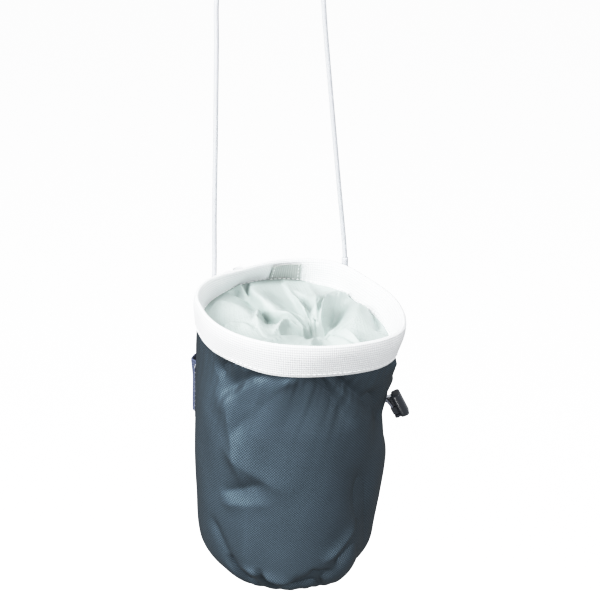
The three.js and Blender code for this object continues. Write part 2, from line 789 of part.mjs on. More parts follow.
// Tab: a short webbing from the shell down along the lock to its button
function buildTab() {
  const upper = -drawcordFromEnd - drawcordDiameter / 2 - seatGap;
  const lowest = buttonMiddle + buttonLength / 2 + seatGap;
  const bend = upper - tabWall;
  const near = -seatGap;
  const far = near - tabWall;
  const seat = seatGap + tabWall * Math.sin(lockTilt * degrees);
  const stations = [
    { outer: [shellFace(upper, seat), upper], inner: [shellFace(upper, seat), upper - tabWall] },
    { outer: [far, upper], inner: [far, bend - tabWall / 2] },
    { outer: [near, bend], inner: [far, bend - tabWall] },
    { outer: [near, lowest], inner: [far, lowest] },
  ];
  return plate(stations, 1, (station, along, over) => {
    const [x, z] = over ? station.outer : station.inner;
    return new THREE.Vector3(x, (along - 0.5) * tabWidth, z);
  });
}

function buildDrawcord() {
  const seat = seatGap + drawcordDiameter / 2 * Math.sin(lockTilt * degrees);
  const start = new THREE.Vector3(shellFace(-drawcordFromEnd, seat), 0, -drawcordFromEnd);
  const end = new THREE.Vector3(-seatGap, 0, -drawcordFromEnd);
  return buildRod(start, end, drawcordDiameter, drawcordSides);
}

add(bag, 'shell', buildShell(), materials.shell);
add(bag, 'rim_band', buildBand(), materials.band);
add(bag, 'lining_collar', buildLining(), materials.lining);
add(bag, 'rim_patch', buildPatch(), materials.patch);
add(bag, 'brush_loop', buildBrushLoop(), materials.loop);
add(bag, 'belt_loop_left', buildBeltLoop(beltAngles.left), materials.band);
add(bag, 'belt_loop_right', buildBeltLoop(beltAngles.right), materials.band);
add(lock, 'cord_lock_body', buildLockBody(), materials.lock);
add(lock, 'cord_lock_button', buildButton(), materials.lock);
add(lock, 'lock_tab', buildTab(), materials.tab);
add(lock, 'drawcord', buildDrawcord(), materials.cord);
bag.add(lock);

const chalkBag = new THREE.Group();
chalkBag.add(bag);
add(chalkBag, 'sling_cord', buildCord(), materials.cord);
add(chalkBag, 'cord_sleeve', buildSleeve(), materials.cord);

export default chalkBag;
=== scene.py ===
import functools
import math

import bmesh
import bpy
import numpy as np
from mathutils import Matrix, Vector


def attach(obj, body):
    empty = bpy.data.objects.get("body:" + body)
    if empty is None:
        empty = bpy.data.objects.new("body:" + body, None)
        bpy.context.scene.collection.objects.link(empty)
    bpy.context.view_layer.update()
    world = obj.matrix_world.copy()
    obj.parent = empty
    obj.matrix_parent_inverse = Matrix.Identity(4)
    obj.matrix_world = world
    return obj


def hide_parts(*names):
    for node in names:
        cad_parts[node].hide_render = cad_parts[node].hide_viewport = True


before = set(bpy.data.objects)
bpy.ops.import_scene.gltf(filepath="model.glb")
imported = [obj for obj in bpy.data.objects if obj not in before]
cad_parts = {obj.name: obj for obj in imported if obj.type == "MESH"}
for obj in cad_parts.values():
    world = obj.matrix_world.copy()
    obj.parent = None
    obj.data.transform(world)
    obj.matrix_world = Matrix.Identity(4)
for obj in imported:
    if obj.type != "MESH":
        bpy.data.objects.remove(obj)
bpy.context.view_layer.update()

# A climber's chalk bag that hangs from a thin cord. Lengths are in millimetres until a mesh is
# made, and angles are in degrees, anticlockwise from the right when seen from above.


# Camera

view = {
    "azimuth": -9.0,
    "elevation": 25.0,
    "distance": 958.0,
    "lens": 100.0,
    "sensor": 36.0,
    "aim": (8.9, -51.8, -197.0),  # middle of the mouth
    "shiftDown": 0.5 / 600,  # half a pixel
    "clip": (0.01, 60),
}


def hexToLinear(text):
    parts = [int(text[i : i + 2], 16) / 255 for i in (1, 3, 5)]
    linear = [c / 12.92 if c <= 0.04045 else ((c + 0.055) / 1.055) ** 2.4 for c in parts]
    return (*linear, 1.0)


def addObject(name, data):
    holder = bpy.data.objects.new(name, data)
    bpy.context.collection.objects.link(holder)
    return holder


# An object that looks at the middle, in metres, from an azimuth and an elevation in degrees
def placeAround(name, data, middle, azimuth, elevation, distance):
    a, e = math.radians(azimuth), math.radians(elevation)
    back = Vector((math.sin(a) * math.cos(e), -math.cos(a) * math.cos(e), math.sin(e)))
    right = Vector((math.cos(a), math.sin(a), 0))
    turn = Matrix((right, back.cross(right), back)).transposed().to_4x4()
    holder = addObject(name, data)
    holder.matrix_world = Matrix.Translation(Vector(middle) + back * distance) @ turn
    return holder


def placeCamera():
    camera = bpy.data.cameras.new("photoCamera")
    camera.lens = view["lens"]
    camera.sensor_width = view["sensor"]
    camera.shift_y = view["shiftDown"]
    camera.clip_start, camera.clip_end = view["clip"]
    bpy.context.scene.camera = placeAround(
        "photoCamera", camera, Vector(view["aim"]) / 1000, view["azimuth"], view["elevation"],
        view["distance"] / 1000,
    )


placeCamera()
print("camera placed")


# Shapes that several pieces share

mouth = {
    "radius": 60.0,
    "roll": 5.5,  # degrees that the mouth drops towards its right side
    "turn": -9.0,
    # angle, reach as a share of the radius, lean inwards at the top in degrees
    "rows": [
        (-170, 1.0, -5), (-150, 1.03, -9), (-134, 1.04, -11), (-116, 1.02, -8),
        (-98, 0.985, -9), (-80, 0.98, -12), (-62, 1.0, -13), (-48, 1.04, -14),
        (-34, 1.065, -17), (-20, 1.025, -21), (-6, 0.985, -24), (10, 0.96, -26),
        (24, 0.95, -24), (38, 0.97, -18), (50, 1.03, -11), (62, 1.075, -4),
        (72, 1.055, 6), (82, 1.01, 24), (94, 0.955, 32), (106, 0.895, 36),
        (118, 0.865, 37), (128, 0.865, 33), (140, 0.905, 22), (152, 0.95, 11),
        (164, 0.98, 3), (178, 1.0, -3),
    ],
}

body = {
    "height": 176.0,
    "width": 114.0,
    "depth": 112.0,
    "corner": 25.0,
    "wall": 1.4,
    "ease": 42.0,  # below the band, where the mouth's shape fades into the body's
    # share of the height, then width, depth, drift to the right and drift to the back
    "rows": [
        (0.0, 1.04, 1.06, -0.01, 0.03), (0.22, 1.025, 1.03, -0.022, 0.02),
        (0.33, 1.0, 1.0, -0.041, 0.01), (0.44, 0.99, 0.985, -0.053, 0.0),
        (0.56, 0.998, 0.98, -0.053, 0.0), (0.7, 0.977, 0.965, -0.064, 0.0),
        (0.8, 0.955, 0.945, -0.073, 0.0), (0.88, 0.925, 0.925, -0.07, 0.0),
        (1.0, 0.88, 0.9, -0.04, 0.0),
    ],
}

band = {
    "height": 20.0,
    "inside": 17.0,
    "wall": 1.1,
    "gap": 0.3,
    "columns": 480,
}


def hermite(at, xs, ys):
    k = np.clip(np.searchsorted(xs[1:-1], at, side="right"), 1, len(xs) - 3)
    span = xs[k + 1] - xs[k]
    t = (at - xs[k]) / span
    slopeIn = (ys[k + 1] - ys[k - 1]) / (xs[k + 1] - xs[k - 1]) * span
    slopeOut = (ys[k + 2] - ys[k]) / (xs[k + 2] - xs[k]) * span
    t2, t3 = t * t, t * t * t
    start = ys[k] * (2 * t3 - 3 * t2 + 1) + slopeIn * (t3 - 2 * t2 + t)
    return start + ys[k + 1] * (3 * t2 - 2 * t3) + slopeOut * (t3 - t2)


def roundTable(rows, column, angle):
    table = np.array(rows, float)
    xs, ys = table[:, 0], table[:, column]
    xs = np.concatenate([xs[-1:] - 360, xs, xs[:2] + 360])
    ys = np.concatenate([ys[-1:], ys, ys[:2]])
    return hermite((angle - xs[1]) % 360 + xs[1], xs, ys)


def downTable(rows, column, share):
    table = np.array(rows, float)
    xs, ys = table[:, 0], table[:, column]
    at = np.clip(share, xs[0], xs[-1])
    xs = np.concatenate([xs[:1], xs, xs[-1:]])
    return hermite(at, xs, np.concatenate([ys[:1], ys, ys[-1:]]))


def ease(start, end, value):
    t = np.clip((value - start) / (end - start), 0, 1)
    return t * t * (3 - 2 * t)


def stack(x, y, z):
    return np.stack(np.broadcast_arrays(x, y, z), axis=-1).astype(float)


def heading(angle):
    return stack(np.cos(np.radians(angle)), np.sin(np.radians(angle)), 0)


def mouthPoint(angle, down):
    lean = np.radians(roundTable(mouth["rows"], 2, angle))
    reach = roundTable(mouth["rows"], 1, angle) * mouth["radius"]
    roll = math.tan(math.radians(mouth["roll"]))
    point = heading(angle) * (reach + down * np.sin(lean))[..., None]
    lift = -roll * reach * np.cos(np.radians(angle - mouth["turn"]))
    point[..., 2] = lift - down * np.cos(lean)
    return point


def bodyMiddle(down):
    share = down / body["height"]
    right = downTable(body["rows"], 3, share) * body["width"]
    return stack(right, downTable(body["rows"], 4, share) * body["depth"], -down)


def bodyPoint(angle, down, inset=0.0):
    share = down / body["height"]
    way = heading(angle)
    width = downTable(body["rows"], 1, share) * body["width"] / 2 - inset
    depth = downTable(body["rows"], 2, share) * body["depth"] / 2 - inset
    reach = 1 / np.hypot(way[..., 0] / width, way[..., 1] / depth)
    return way * reach[..., None] + bodyMiddle(down)


def smoothShell(angle, down, corner=0.0, floor=0.0):
    bend = np.asarray(corner) * math.pi / 2
    drop = down + body["corner"] * np.sin(bend)
    point = bodyPoint(angle, drop, body["corner"] * (1 - np.cos(bend)))
    point = point + (bodyMiddle(drop) - point) * np.asarray(floor)[..., None]
    blend = ease(band["height"], band["height"] + body["ease"], down)[..., None]
    return mouthPoint(angle, down) * (1 - blend) + point * blend


def outward(surface, angle, down):
    across = surface(angle + 0.5, down) - surface(angle - 0.5, down)
    along = surface(angle, down + 0.5) - surface(angle, down - 0.5)
    way = np.cross(along, across)
    return way / np.linalg.norm(way, axis=-1, keepdims=True)


def offMouth(angle, down, stand):
    return mouthPoint(angle, down) + outward(mouthPoint, angle, down) * np.asarray(stand)[..., None]


def ringAngles(count):
    return np.arange(count) * 360 / count - 180


def addPiece(name, mesh, slot, body, *nodes):
    piece = addObject(name, mesh)
    if nodes:
        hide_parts(*nodes)
    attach(piece, body)
    return piece


# A smooth mesh in metres from points in millimetres, turned right side out
def meshOf(name, points, faces, uvs=None, material=None, place=view["aim"]):
    mesh = bpy.data.meshes.new(name)
    points = (np.asarray(points, float) + np.array(place)) / 1000
    mesh.from_pydata(points.tolist(), [], faces)
    if uvs is not None:
        layer = mesh.uv_layers.new(name="threads")
        layer.data.foreach_set("uv", np.asarray(uvs, float).ravel())
    mesh.polygons.foreach_set("use_smooth", [True] * len(mesh.polygons))
    if material:
        mesh.materials.append(material)
    mesh.validate()
    volume = 0.0
    mesh.calc_loop_triangles()
    for tri in mesh.loop_triangles:
        a, b, c = (mesh.vertices[i].co for i in tri.vertices)
        volume += a.dot(b.cross(c))
    if volume < 0:
        mesh.flip_normals()
    return mesh


# The faces of a grid whose rows close on themselves; the last row may join the first
def gridQuads(rows, columns, joined):
    r, c = np.meshgrid(np.arange(rows if joined else rows - 1), np.arange(columns), indexing="ij")
    r2, c2 = (r + 1) % rows, (c + 1) % columns
    quads = np.stack([r * columns + c, r2 * columns + c, r2 * columns + c2, r * columns + c2], -1)
    return r, c, quads.reshape(-1, 4)


# Rings of points joined into a skin. The rings close on themselves; the skin closes round the
# section, or by a point at each end. across and along hold the threads' lengths in millimetres.
def loft(name, rings, across, along, material, loop=False, ends=None, place=view["aim"]):
    rings = np.asarray(rings, float)
    rows, columns = rings.shape[:2]
    points = rings.reshape(-1, 3)
    r, c, quads = gridQuads(rows, columns, loop)
    u = np.stack([across[c], across[c], across[c + 1], across[c + 1]], -1)
    v = np.stack([along[r], along[r + 1], along[r + 1], along[r]], -1)
    faces = quads.tolist()
    uvs = np.stack([u, v], -1).reshape(-1, 2).tolist()
    if ends is not None:
        tip = len(points)
        points = np.concatenate([points, np.asarray(ends, float)])
        for row, order in ((0, -1), (rows - 1, 1)):
            for k in range(columns):
                corners = [row * columns + k, row * columns + (k + 1) % columns][::order]
                faces.append([*corners, tip + (row > 0)])
                uvs += [(across[k], along[row]), (across[k + 1], along[row])][::order]
                uvs.append(((across[k] + across[k + 1]) / 2, along[row]))
    return meshOf(name, points, faces, uvs, material, place)


# The section of a flat webbing: points across its width with rounded edges, each a share of the
# width and a share of the thickness
def flatSection(steps):
    edge = [0, 0.015, 0.05]
    middle = np.linspace(0.08, 0.92, steps)
    across = np.concatenate([edge, middle, [0.95, 0.985, 1]])
    over = np.concatenate([[0.72, 0.93, 1], np.ones(steps), [1, 0.93, 0.72]])
    return np.concatenate([across, across[::-1]]), np.concatenate([over, 1 - over[::-1]])


# Twice as many points each way on a grid whose rings close on themselves
def finer(grid):
    def between(p, q, before, after):
        return (9 * (p + q) - before - after) / 16

    ring = between(grid, np.roll(grid, -1, 1), np.roll(grid, 1, 1), np.roll(grid, -2, 1))
    grid = np.stack([grid, ring], 2).reshape(len(grid), -1, 3)
    longer = np.concatenate([2 * grid[:1] - grid[1:2], grid, 2 * grid[-1:] - grid[-2:-1]])
    middle = between(longer[1:-2], longer[2:-1], longer[:-3], longer[3:])
    out = np.empty((2 * len(grid) - 1, grid.shape[1], 3))
    out[0::2], out[1::2] = grid, middle
    return out


def gridNormals(grid):
    across = np.roll(grid, -1, 1) - np.roll(grid, 1, 1)
    way = np.cross(np.gradient(grid, axis=0), across)
    return way / np.maximum(np.linalg.norm(way, axis=-1, keepdims=True), 1e-9)


def meshNow(holder):
    deps = bpy.context.evaluated_depsgraph_get()
    return bpy.data.meshes.new_from_object(holder.evaluated_get(deps))


# Lets a grid of cloth settle. hold is 1 where it is sewn down and lower where it only keeps near
# its place; spare is how much cloth there is more than the grid has. It is simulated ten times as
# large, as the simulation is made for clothes.
def settle(name, grid, hold, settings):
    rows, columns = grid.shape[:2]
    quads = gridQuads(rows, columns, False)[2][:, [0, 3, 2, 1]]
    mesh = bpy.data.meshes.new(name)
    mesh.from_pydata((grid.reshape(-1, 3) / 100).tolist(), [], quads.tolist())
    holder = addObject(name, mesh)
    group = holder.vertex_groups.new(name="hold")
    for index, weight in enumerate(np.broadcast_to(hold, (rows, columns)).ravel()):
        group.add([index], float(weight), "REPLACE")
    change = holder.modifiers.new("cloth", "CLOTH")
    cloth = change.settings
    cloth.vertex_group_mass = "hold"
    cloth.pin_stiffness = settings["pull"]
    cloth.quality, cloth.mass, cloth.air_damping = 8, 0.15, 2.0
    cloth.tension_stiffness = cloth.compression_stiffness = settings["stretch"]
    cloth.shear_stiffness = settings["shear"]
    cloth.bending_stiffness = settings["bend"]
    cloth.shrink_min = -settings["spare"]
    cloth.effector_weights.gravity = settings["weight"]
    change.collision_settings.use_collision = False
    change.collision_settings.use_self_collision = False
    change.point_cache.frame_start, change.point_cache.frame_end = 1, settings["frames"]
    scene = bpy.context.scene
    for frameNumber in range(1, settings["frames"] + 1):
        scene.frame_set(frameNumber)
    settled = meshNow(holder)
    out = np.empty(rows * columns * 3)
    settled.vertices.foreach_get("co", out)
    bpy.data.objects.remove(holder)
    bpy.data.meshes.remove(settled)
    scene.frame_set(1)
    return out.reshape(rows, columns, 3) * 100


# Materials

def addNode(tree, kind, settings=None, links=None):
    node = tree.nodes.new(kind)
    node.location = (len(tree.nodes) * 190 % 2280, -220 * (len(tree.nodes) // 12))
    for name, value in (settings or {}).items():
        setattr(node, name, value)
    for socket, value in (links or {}).items():
        if isinstance(value, bpy.types.NodeSocket):
            tree.links.new(value, node.inputs[socket])
        else:
            node.inputs[socket].default_value = value
    return node


def newMaterial(name, colour, roughness, **shader):
    material = bpy.data.materials.new(name)
    material.use_nodes = True
    tree = material.node_tree
    tree.nodes.clear()
    surface = addNode(tree, "ShaderNodeBsdfPrincipled", None, {
        "Base Color": hexToLinear(colour), "Roughness": roughness, **shader,
    })
    addNode(tree, "ShaderNodeOutputMaterial", None, {"Surface": surface.outputs[0]})
    return material, tree, surface


# Sines of the threads' places across and along the cloth, for threads of these pitches in
# millimetres
def threadWaves(tree, pitches):
    uv = addNode(tree, "ShaderNodeUVMap", {"uv_map": "threads"})
    parts = addNode(tree, "ShaderNodeSeparateXYZ", None, {0: uv.outputs[0]})
    waves = []
    for side, pitch in enumerate(pitches):
        turn = addNode(tree, "ShaderNodeMath", {"operation": "MULTIPLY"}, {
            0: parts.outputs[side], 1: 2 * math.pi / pitch,
        })
        wave = addNode(tree, "ShaderNodeMath", {"operation": "SINE"}, {0: turn.outputs[0]})
        waves.append(wave.outputs[0])
    return waves


# A height from 0 to 1 that is high where a thread crosses another, in turns like a plain weave
def crossedThreads(tree, pitch):
    across, along = threadWaves(tree, (pitch, pitch))
    product = addNode(tree, "ShaderNodeMath", {"operation": "MULTIPLY"}, {0: across, 1: along})
    height = addNode(tree, "ShaderNodeMath", {"operation": "MULTIPLY_ADD"}, {
        0: product.outputs[0], 1: 0.5, 2: 0.5,
    })
    return height.outputs[0]


def shadeColour(tree, surface, colour, factor):
    shade = addNode(tree, "ShaderNodeMix", {"data_type": "RGBA", "blend_type": "MULTIPLY"}, {
        0: 1.0, 6: colour, 7: factor,
    })
    tree.links.new(shade.outputs[2], surface.inputs["Base Color"])


# Colours the threads from low to high, with faint clouds over the cloth, and raises them
def finishCloth(tree, surface, height, colours, depth, stain=0.06, stainScale=55.0):
    place = addNode(tree, "ShaderNodeTexCoord")
    cloud = addNode(tree, "ShaderNodeTexNoise", None, {
        "Vector": place.outputs["Object"], "Scale": stainScale, "Detail": 3.0,
    })
    low, high = (hexToLinear(c) for c in colours)
    thread = addNode(tree, "ShaderNodeMix", {"data_type": "RGBA"}, {0: height, 6: low, 7: high})
    spread = addNode(tree, "ShaderNodeMapRange", None, {
        0: cloud.outputs[0], 1: 0.3, 2: 0.7, 3: 1 - stain, 4: 1 + stain,
    })
    shadeColour(tree, surface, thread.outputs[2], spread.outputs[0])
    bump = addNode(tree, "ShaderNodeBump", None, {
        "Height": height, "Distance": depth, "Strength": 1.0,
    })
    tree.links.new(bump.outputs[0], surface.inputs["Normal"])


# Painted shade: the colour is darkened where the cloth turns away from the camera, standing in for
# threads that shade each other when seen from the side
def paintShadeOnEdges(tree, surface, blend, start, least):
    edge = addNode(tree, "ShaderNodeLayerWeight", None, {"Blend": blend})
    dim = addNode(tree, "ShaderNodeMapRange", None, {
        0: edge.outputs["Facing"], 1: start, 2: 0.95, 3: 1.0, 4: least,
    })
    colour = surface.inputs["Base Color"].links[0].from_socket
    shadeColour(tree, surface, colour, dim.outputs[0])


# Gives a surface a fine grain in its relief
def addGrain(tree, surface, scale, distance, strength):
    place = addNode(tree, "ShaderNodeTexCoord")
    grain = addNode(tree, "ShaderNodeTexNoise", None, {
        "Vector": place.outputs["Object"], "Scale": scale, "Detail": 2.0,
    })
    bump = addNode(tree, "ShaderNodeBump", None, {
        "Height": grain.outputs[0], "Distance": distance, "Strength": strength,
    })
    tree.links.new(bump.outputs[0], surface.inputs["Normal"])
    return grain.outputs[0]


# Dobby-woven polyester: slightly satin, with small dark pits between raised diagonal floats. Its
# threads of about 1.1 mm are drawn at 1.6 mm, or they would be too fine to show.
def dobbyPolyester():
    material, tree, surface = newMaterial("dobbyWovenPolyester", "#44525d", 0.58, **{
        "Metallic": 0.45, "Specular IOR Level": 0.5,
    })
    height = crossedThreads(tree, 1.6)
    finishCloth(tree, surface, height, ("#313b42", "#5d6e7a"), 0.00015, 0.1, 28.0)
    # Painted shade on the edges that turn away from the camera
    paintShadeOnEdges(tree, surface, 0.32, 0.16, 0.24)
    return material


# Woven webbing: matt, with a fine grid of ribs
def ribbedWebbing(name, low, high, pitches, depth):
    material, tree, surface = newMaterial(name, high, 0.85, **{
        "Sheen Weight": 0.15, "Specular IOR Level": 0.3,
    })
    height = 0.5
    for wave in threadWaves(tree, pitches):
        height = addNode(tree, "ShaderNodeMath", {"operation": "MULTIPLY_ADD"}, {
            0: wave, 1: 0.25, 2: height,
        }).outputs[0]
    finishCloth(tree, surface, height, (low, high), depth, 0.02)
    return material


# Ripstop nylon: thin and soft, with a grid of thicker threads every 2.1 mm and small crumples
def ripstopNylon():
    material, tree, surface = newMaterial("ripstopNylon", "#b3bfbc", 0.5, **{
        "Specular IOR Level": 0.4,
    })
    ribs = []
    for wave in threadWaves(tree, (4.2, 4.2)):
        size = addNode(tree, "ShaderNodeMath", {"operation": "ABSOLUTE"}, {0: wave})
        rib = addNode(tree, "ShaderNodeMath", {"operation": "POWER"}, {0: size.outputs[0], 1: 14.0})
        ribs.append(rib.outputs[0])
    grid = addNode(tree, "ShaderNodeMath", {"operation": "MAXIMUM"}, {0: ribs[0], 1: ribs[1]})
    place = addNode(tree, "ShaderNodeTexCoord")
    crumple = addNode(tree, "ShaderNodeTexNoise", None, {
        "Vector": place.outputs["Object"], "Scale": 95.0, "Detail": 4.0, "Roughness": 0.55,
        "Distortion": 0.6,
    })
    height = addNode(tree, "ShaderNodeMath", {"operation": "MULTIPLY_ADD"}, {
        0: crumple.outputs[0], 1: 9.0, 2: grid.outputs[0],
    })
    finishCloth(tree, surface, height.outputs[0], ("#afbbb8", "#b5c0bd"), 0.00009, 0.03)
    return material


# Braided polyester cord: its strands are in the mesh, the threads are fine lines along them
def braidedPolyester():
    material, tree, surface = newMaterial("braidedPolyester", "#f2f3f5", 0.75, **{
        "Sheen Weight": 0.2, "Specular IOR Level": 0.35,
    })
    height = crossedThreads(tree, 0.8)
    finishCloth(tree, surface, height, ("#b9bfc9", "#eef0f2"), 0.00012, 0.02)
    # Painted shade on the edges that turn away from the camera
    paintShadeOnEdges(tree, surface, 0.4, 0.3, 0.42)
    return material


# Moulded acetal: smooth and glossy, with a faint mould texture
def mouldedAcetal():
    material, tree, surface = newMaterial("mouldedAcetal", "#3f434a", 0.24, **{
        "Specular IOR Level": 0.55, "IOR": 1.48,
    })
    grain = addGrain(tree, surface, 2600.0, 0.000004, 0.5)
    rough = addNode(tree, "ShaderNodeMapRange", None, {0: grain, 1: 0.3, 2: 0.7, 3: 0.19, 4: 0.25})
    tree.links.new(rough.outputs[0], surface.inputs["Roughness"])
    return material


# Spun polyester thread: matt and slightly fuzzy
def spunThread():
    material, tree, surface = newMaterial("spunPolyesterThread", "#fafafa", 0.7, **{
        "Sheen Weight": 0.2,
    })
    addGrain(tree, surface, 3000.0, 0.00004, 0.8)
    return material


finish = {
    "shell": dobbyPolyester(),
    "band": ribbedWebbing("whitePolyesterWebbing", "#dcdee1", "#fafbfb", (1.25, 1.5), 0.00026),
    "lining": ripstopNylon(),
    "patch": ribbedWebbing("greyPolyesterWebbing", "#a6aaa8", "#c6cac8", (1.4, 1.4), 0.00016),
    "brush": ribbedWebbing("blueNylonWebbing", "#343b4e", "#5b637c", (1.6, 1.2), 0.0002),
    "tab": ribbedWebbing("greyNylonTape", "#5e626d", "#8b8f9a", (4.0, 1.1), 0.0002),
    "cord": braidedPolyester(),
    "lock": mouldedAcetal(),
    "thread": spunThread(),
}
print("materials made")


# Sling cord: the route of the CAD cord, swept as a braid

sling = {
    "diameter": 3.0,
    "strands": 4,  # strands each way round
    "lay": 10.0,  # length of one turn of a strand
    "crown": 0.17,  # how far a strand stands out of the braid
    "ringStep": 0.42,
    "sides": 20,
    "tuck": 1.0,  # how far its ends reach into the sleeve
    "points": [
        (45.7, 5.7, -196.7), (45.3, 5.6, -190), (41.3, 4.2, -150), (36.4, 2.8, -100),
        (32.1, 1.3, -55), (29.5, 0.1, -28), (25.5, 0, -13.3), (14.8, 0, -2.5), (0, 0, 1.5),
        (-14.8, 0, -2.5), (-25.5, 0, -13.3), (-29.5, -0.3, -28), (-30.8, -1.8, -60),
        (-32.6, -3.6, -110), (-34.6, -5.8, -160), (-35.6, -7, -196), (-36.2, -6.2, -204),
        (-36, -4, -210.2), (-31.2, 1.5, -212.9), (-24.5, 7.8, -213.6), (-14.8, 13.3, -214.2),
        (-1.9, 18.2, -214.8), (11.8, 19.6, -215.4), (22.5, 18.2, -216), (31.1, 13.8, -216.2),
        (37.7, 10, -215.8), (42.9, 7.3, -214.1), (45.5, 5.8, -211), (45.7, 5.7, -207.2),
    ],
}


# A curve through the points whose speed follows the square root of their distance
def throughPoints(points, perSpan):
    p = np.array(points, float)
    p = np.concatenate([[2 * p[0] - p[1]], p, [2 * p[-1] - p[-2]]])
    gaps = np.linalg.norm(np.diff(p, axis=0), axis=1) ** 0.5
    out = []
    for i in range(1, len(p) - 2):
        a, b, c = gaps[i - 1], gaps[i], gaps[i + 1]
        before, here, after, beyond = p[i - 1 : i + 3]
        first = ((here - before) / a - (after - before) / (a + b) + (after - here) / b) * b
        second = ((after - here) / b - (beyond - here) / (b + c) + (beyond - after) / c) * b
        t = (np.arange(perSpan) / perSpan)[:, None]
        t2, t3 = t * t, t * t * t
        start = here * (2 * t3 - 3 * t2 + 1) + first * (t3 - 2 * t2 + t)
        out.append(start + after * (3 * t2 - 2 * t3) + second * (t3 - t2))
    return np.concatenate([*out, p[-2:-1]])


def lengthsAlong(path):
    return np.concatenate([[0], np.cumsum(np.linalg.norm(np.diff(path, axis=0), axis=1))])


def resample(path, step):
    lengths = lengthsAlong(path)
    count = max(2, round(lengths[-1] / step) + 1)
    at = np.linspace(0, lengths[-1], count)
    return np.stack([np.interp(at, lengths, path[:, k]) for k in range(3)], -1)


# Lengths round a piece, stretched so that a whole number of threads goes round
def wholeThreads(length, pitch, columns):
    return np.linspace(0, length, columns + 1) * (round(length / pitch) * pitch / length)


# Directions across a path that turn as little as they can
def acrossPath(path):
    ways = np.gradient(path, axis=0)
    ways /= np.linalg.norm(ways, axis=1, keepdims=True)
    side = np.cross(ways[0], (0.3, 1.0, 0.1))
    sides = []
    for way in ways:
        side = side - way * side.dot(way)
        side = side / np.linalg.norm(side)
        sides.append(side)
    sides = np.array(sides)
    return sides, np.cross(ways, sides)


def braidedCord(name, path, settings, material):
    path = resample(path, settings["ringStep"])
    first, second = acrossPath(path)
    length = lengthsAlong(path)[:, None]
    turn = np.linspace(0, 2 * math.pi, settings["sides"], endpoint=False)[None, :]
    lay = 2 * math.pi * settings["strands"] * length / settings["lay"]
    left = np.sin(settings["strands"] * turn + lay)
    right = np.sin(settings["strands"] * turn - lay)
    radius = settings["diameter"] / 2 - settings["crown"] * (1 - np.maximum(left * right, -0.4))
    ring = first[:, None] * np.cos(turn)[..., None] + second[:, None] * np.sin(turn)[..., None]
    rings = path[:, None] + ring * radius[..., None]
    across = np.linspace(0, math.pi * settings["diameter"], settings["sides"] + 1)
    return loft(name, rings, across, length[:, 0], material, ends=[path[0], path[-1]],
                place=(0, 0, 0))


def makeSling():
    path = throughPoints(sling["points"], 40)
    upper, lower = path[0] - path[1], path[-1] - path[-2]
    upper, lower = (w / np.linalg.norm(w) * sling["tuck"] for w in (upper, lower))
    path = np.concatenate([[path[0] + upper], path, [path[-1] + lower]])
    mesh = braidedCord("slingCord", path, sling, finish["cord"])
    piece = addPiece("slingCord", mesh, "white_cord", "bag", "sling_cord")
    return piece, path


# Sleeve: a shrunk tube over the two ends, a little narrower at its mouths
sleeve = {"diameter": 4.0, "low": -206.9, "high": -197.0, "round": 0.5, "sides": 40}


def makeSleeve():
    lower, upper = (np.array(sling["points"][k], float) for k in (-1, 0))
    height = sleeve["high"] - sleeve["low"]
    rise = np.concatenate([[0, 0.06, 0.2, 0.5], np.linspace(1, height - 1, 14),
                           [height - 0.5, height - 0.2, height - 0.06, height]])
    edge = np.minimum(rise, height - rise)
    radius = sleeve["diameter"] / 2
    radius = radius - sleeve["round"] * (1 - np.clip(edge / sleeve["round"], 0, 1)) ** 2
    radius = radius - 0.08 * np.sin(rise * 1.9) ** 2 * (edge > 0.9)
    middle = lower + (upper - lower) * 0.5
    turn = np.linspace(0, 2 * math.pi, sleeve["sides"], endpoint=False)
    ring = np.stack([np.cos(turn), np.sin(turn), np.zeros_like(turn)], -1)
    rings = ring[None] * radius[:, None, None]
    rings[..., 2] += rise[:, None] + sleeve["low"]
    rings[..., 0] += middle[0]
    rings[..., 1] += middle[1]
    across = np.linspace(0, math.pi * sleeve["diameter"], sleeve["sides"] + 1)
    ends = [(middle[0], middle[1], sleeve["low"]), (middle[0], middle[1], sleeve["high"])]
    mesh = loft("cordSleeve", rings, across, rise, finish["cord"], ends=ends, place=(0, 0, 0))
    return addPiece("cordSleeve", mesh, "white_cord", "bag", "cord_sleeve")


slingPiece, slingPath = makeSling()
sleevePiece = makeSleeve()
print("cord made")


# Shell: the smooth body, pressed and raised along creases

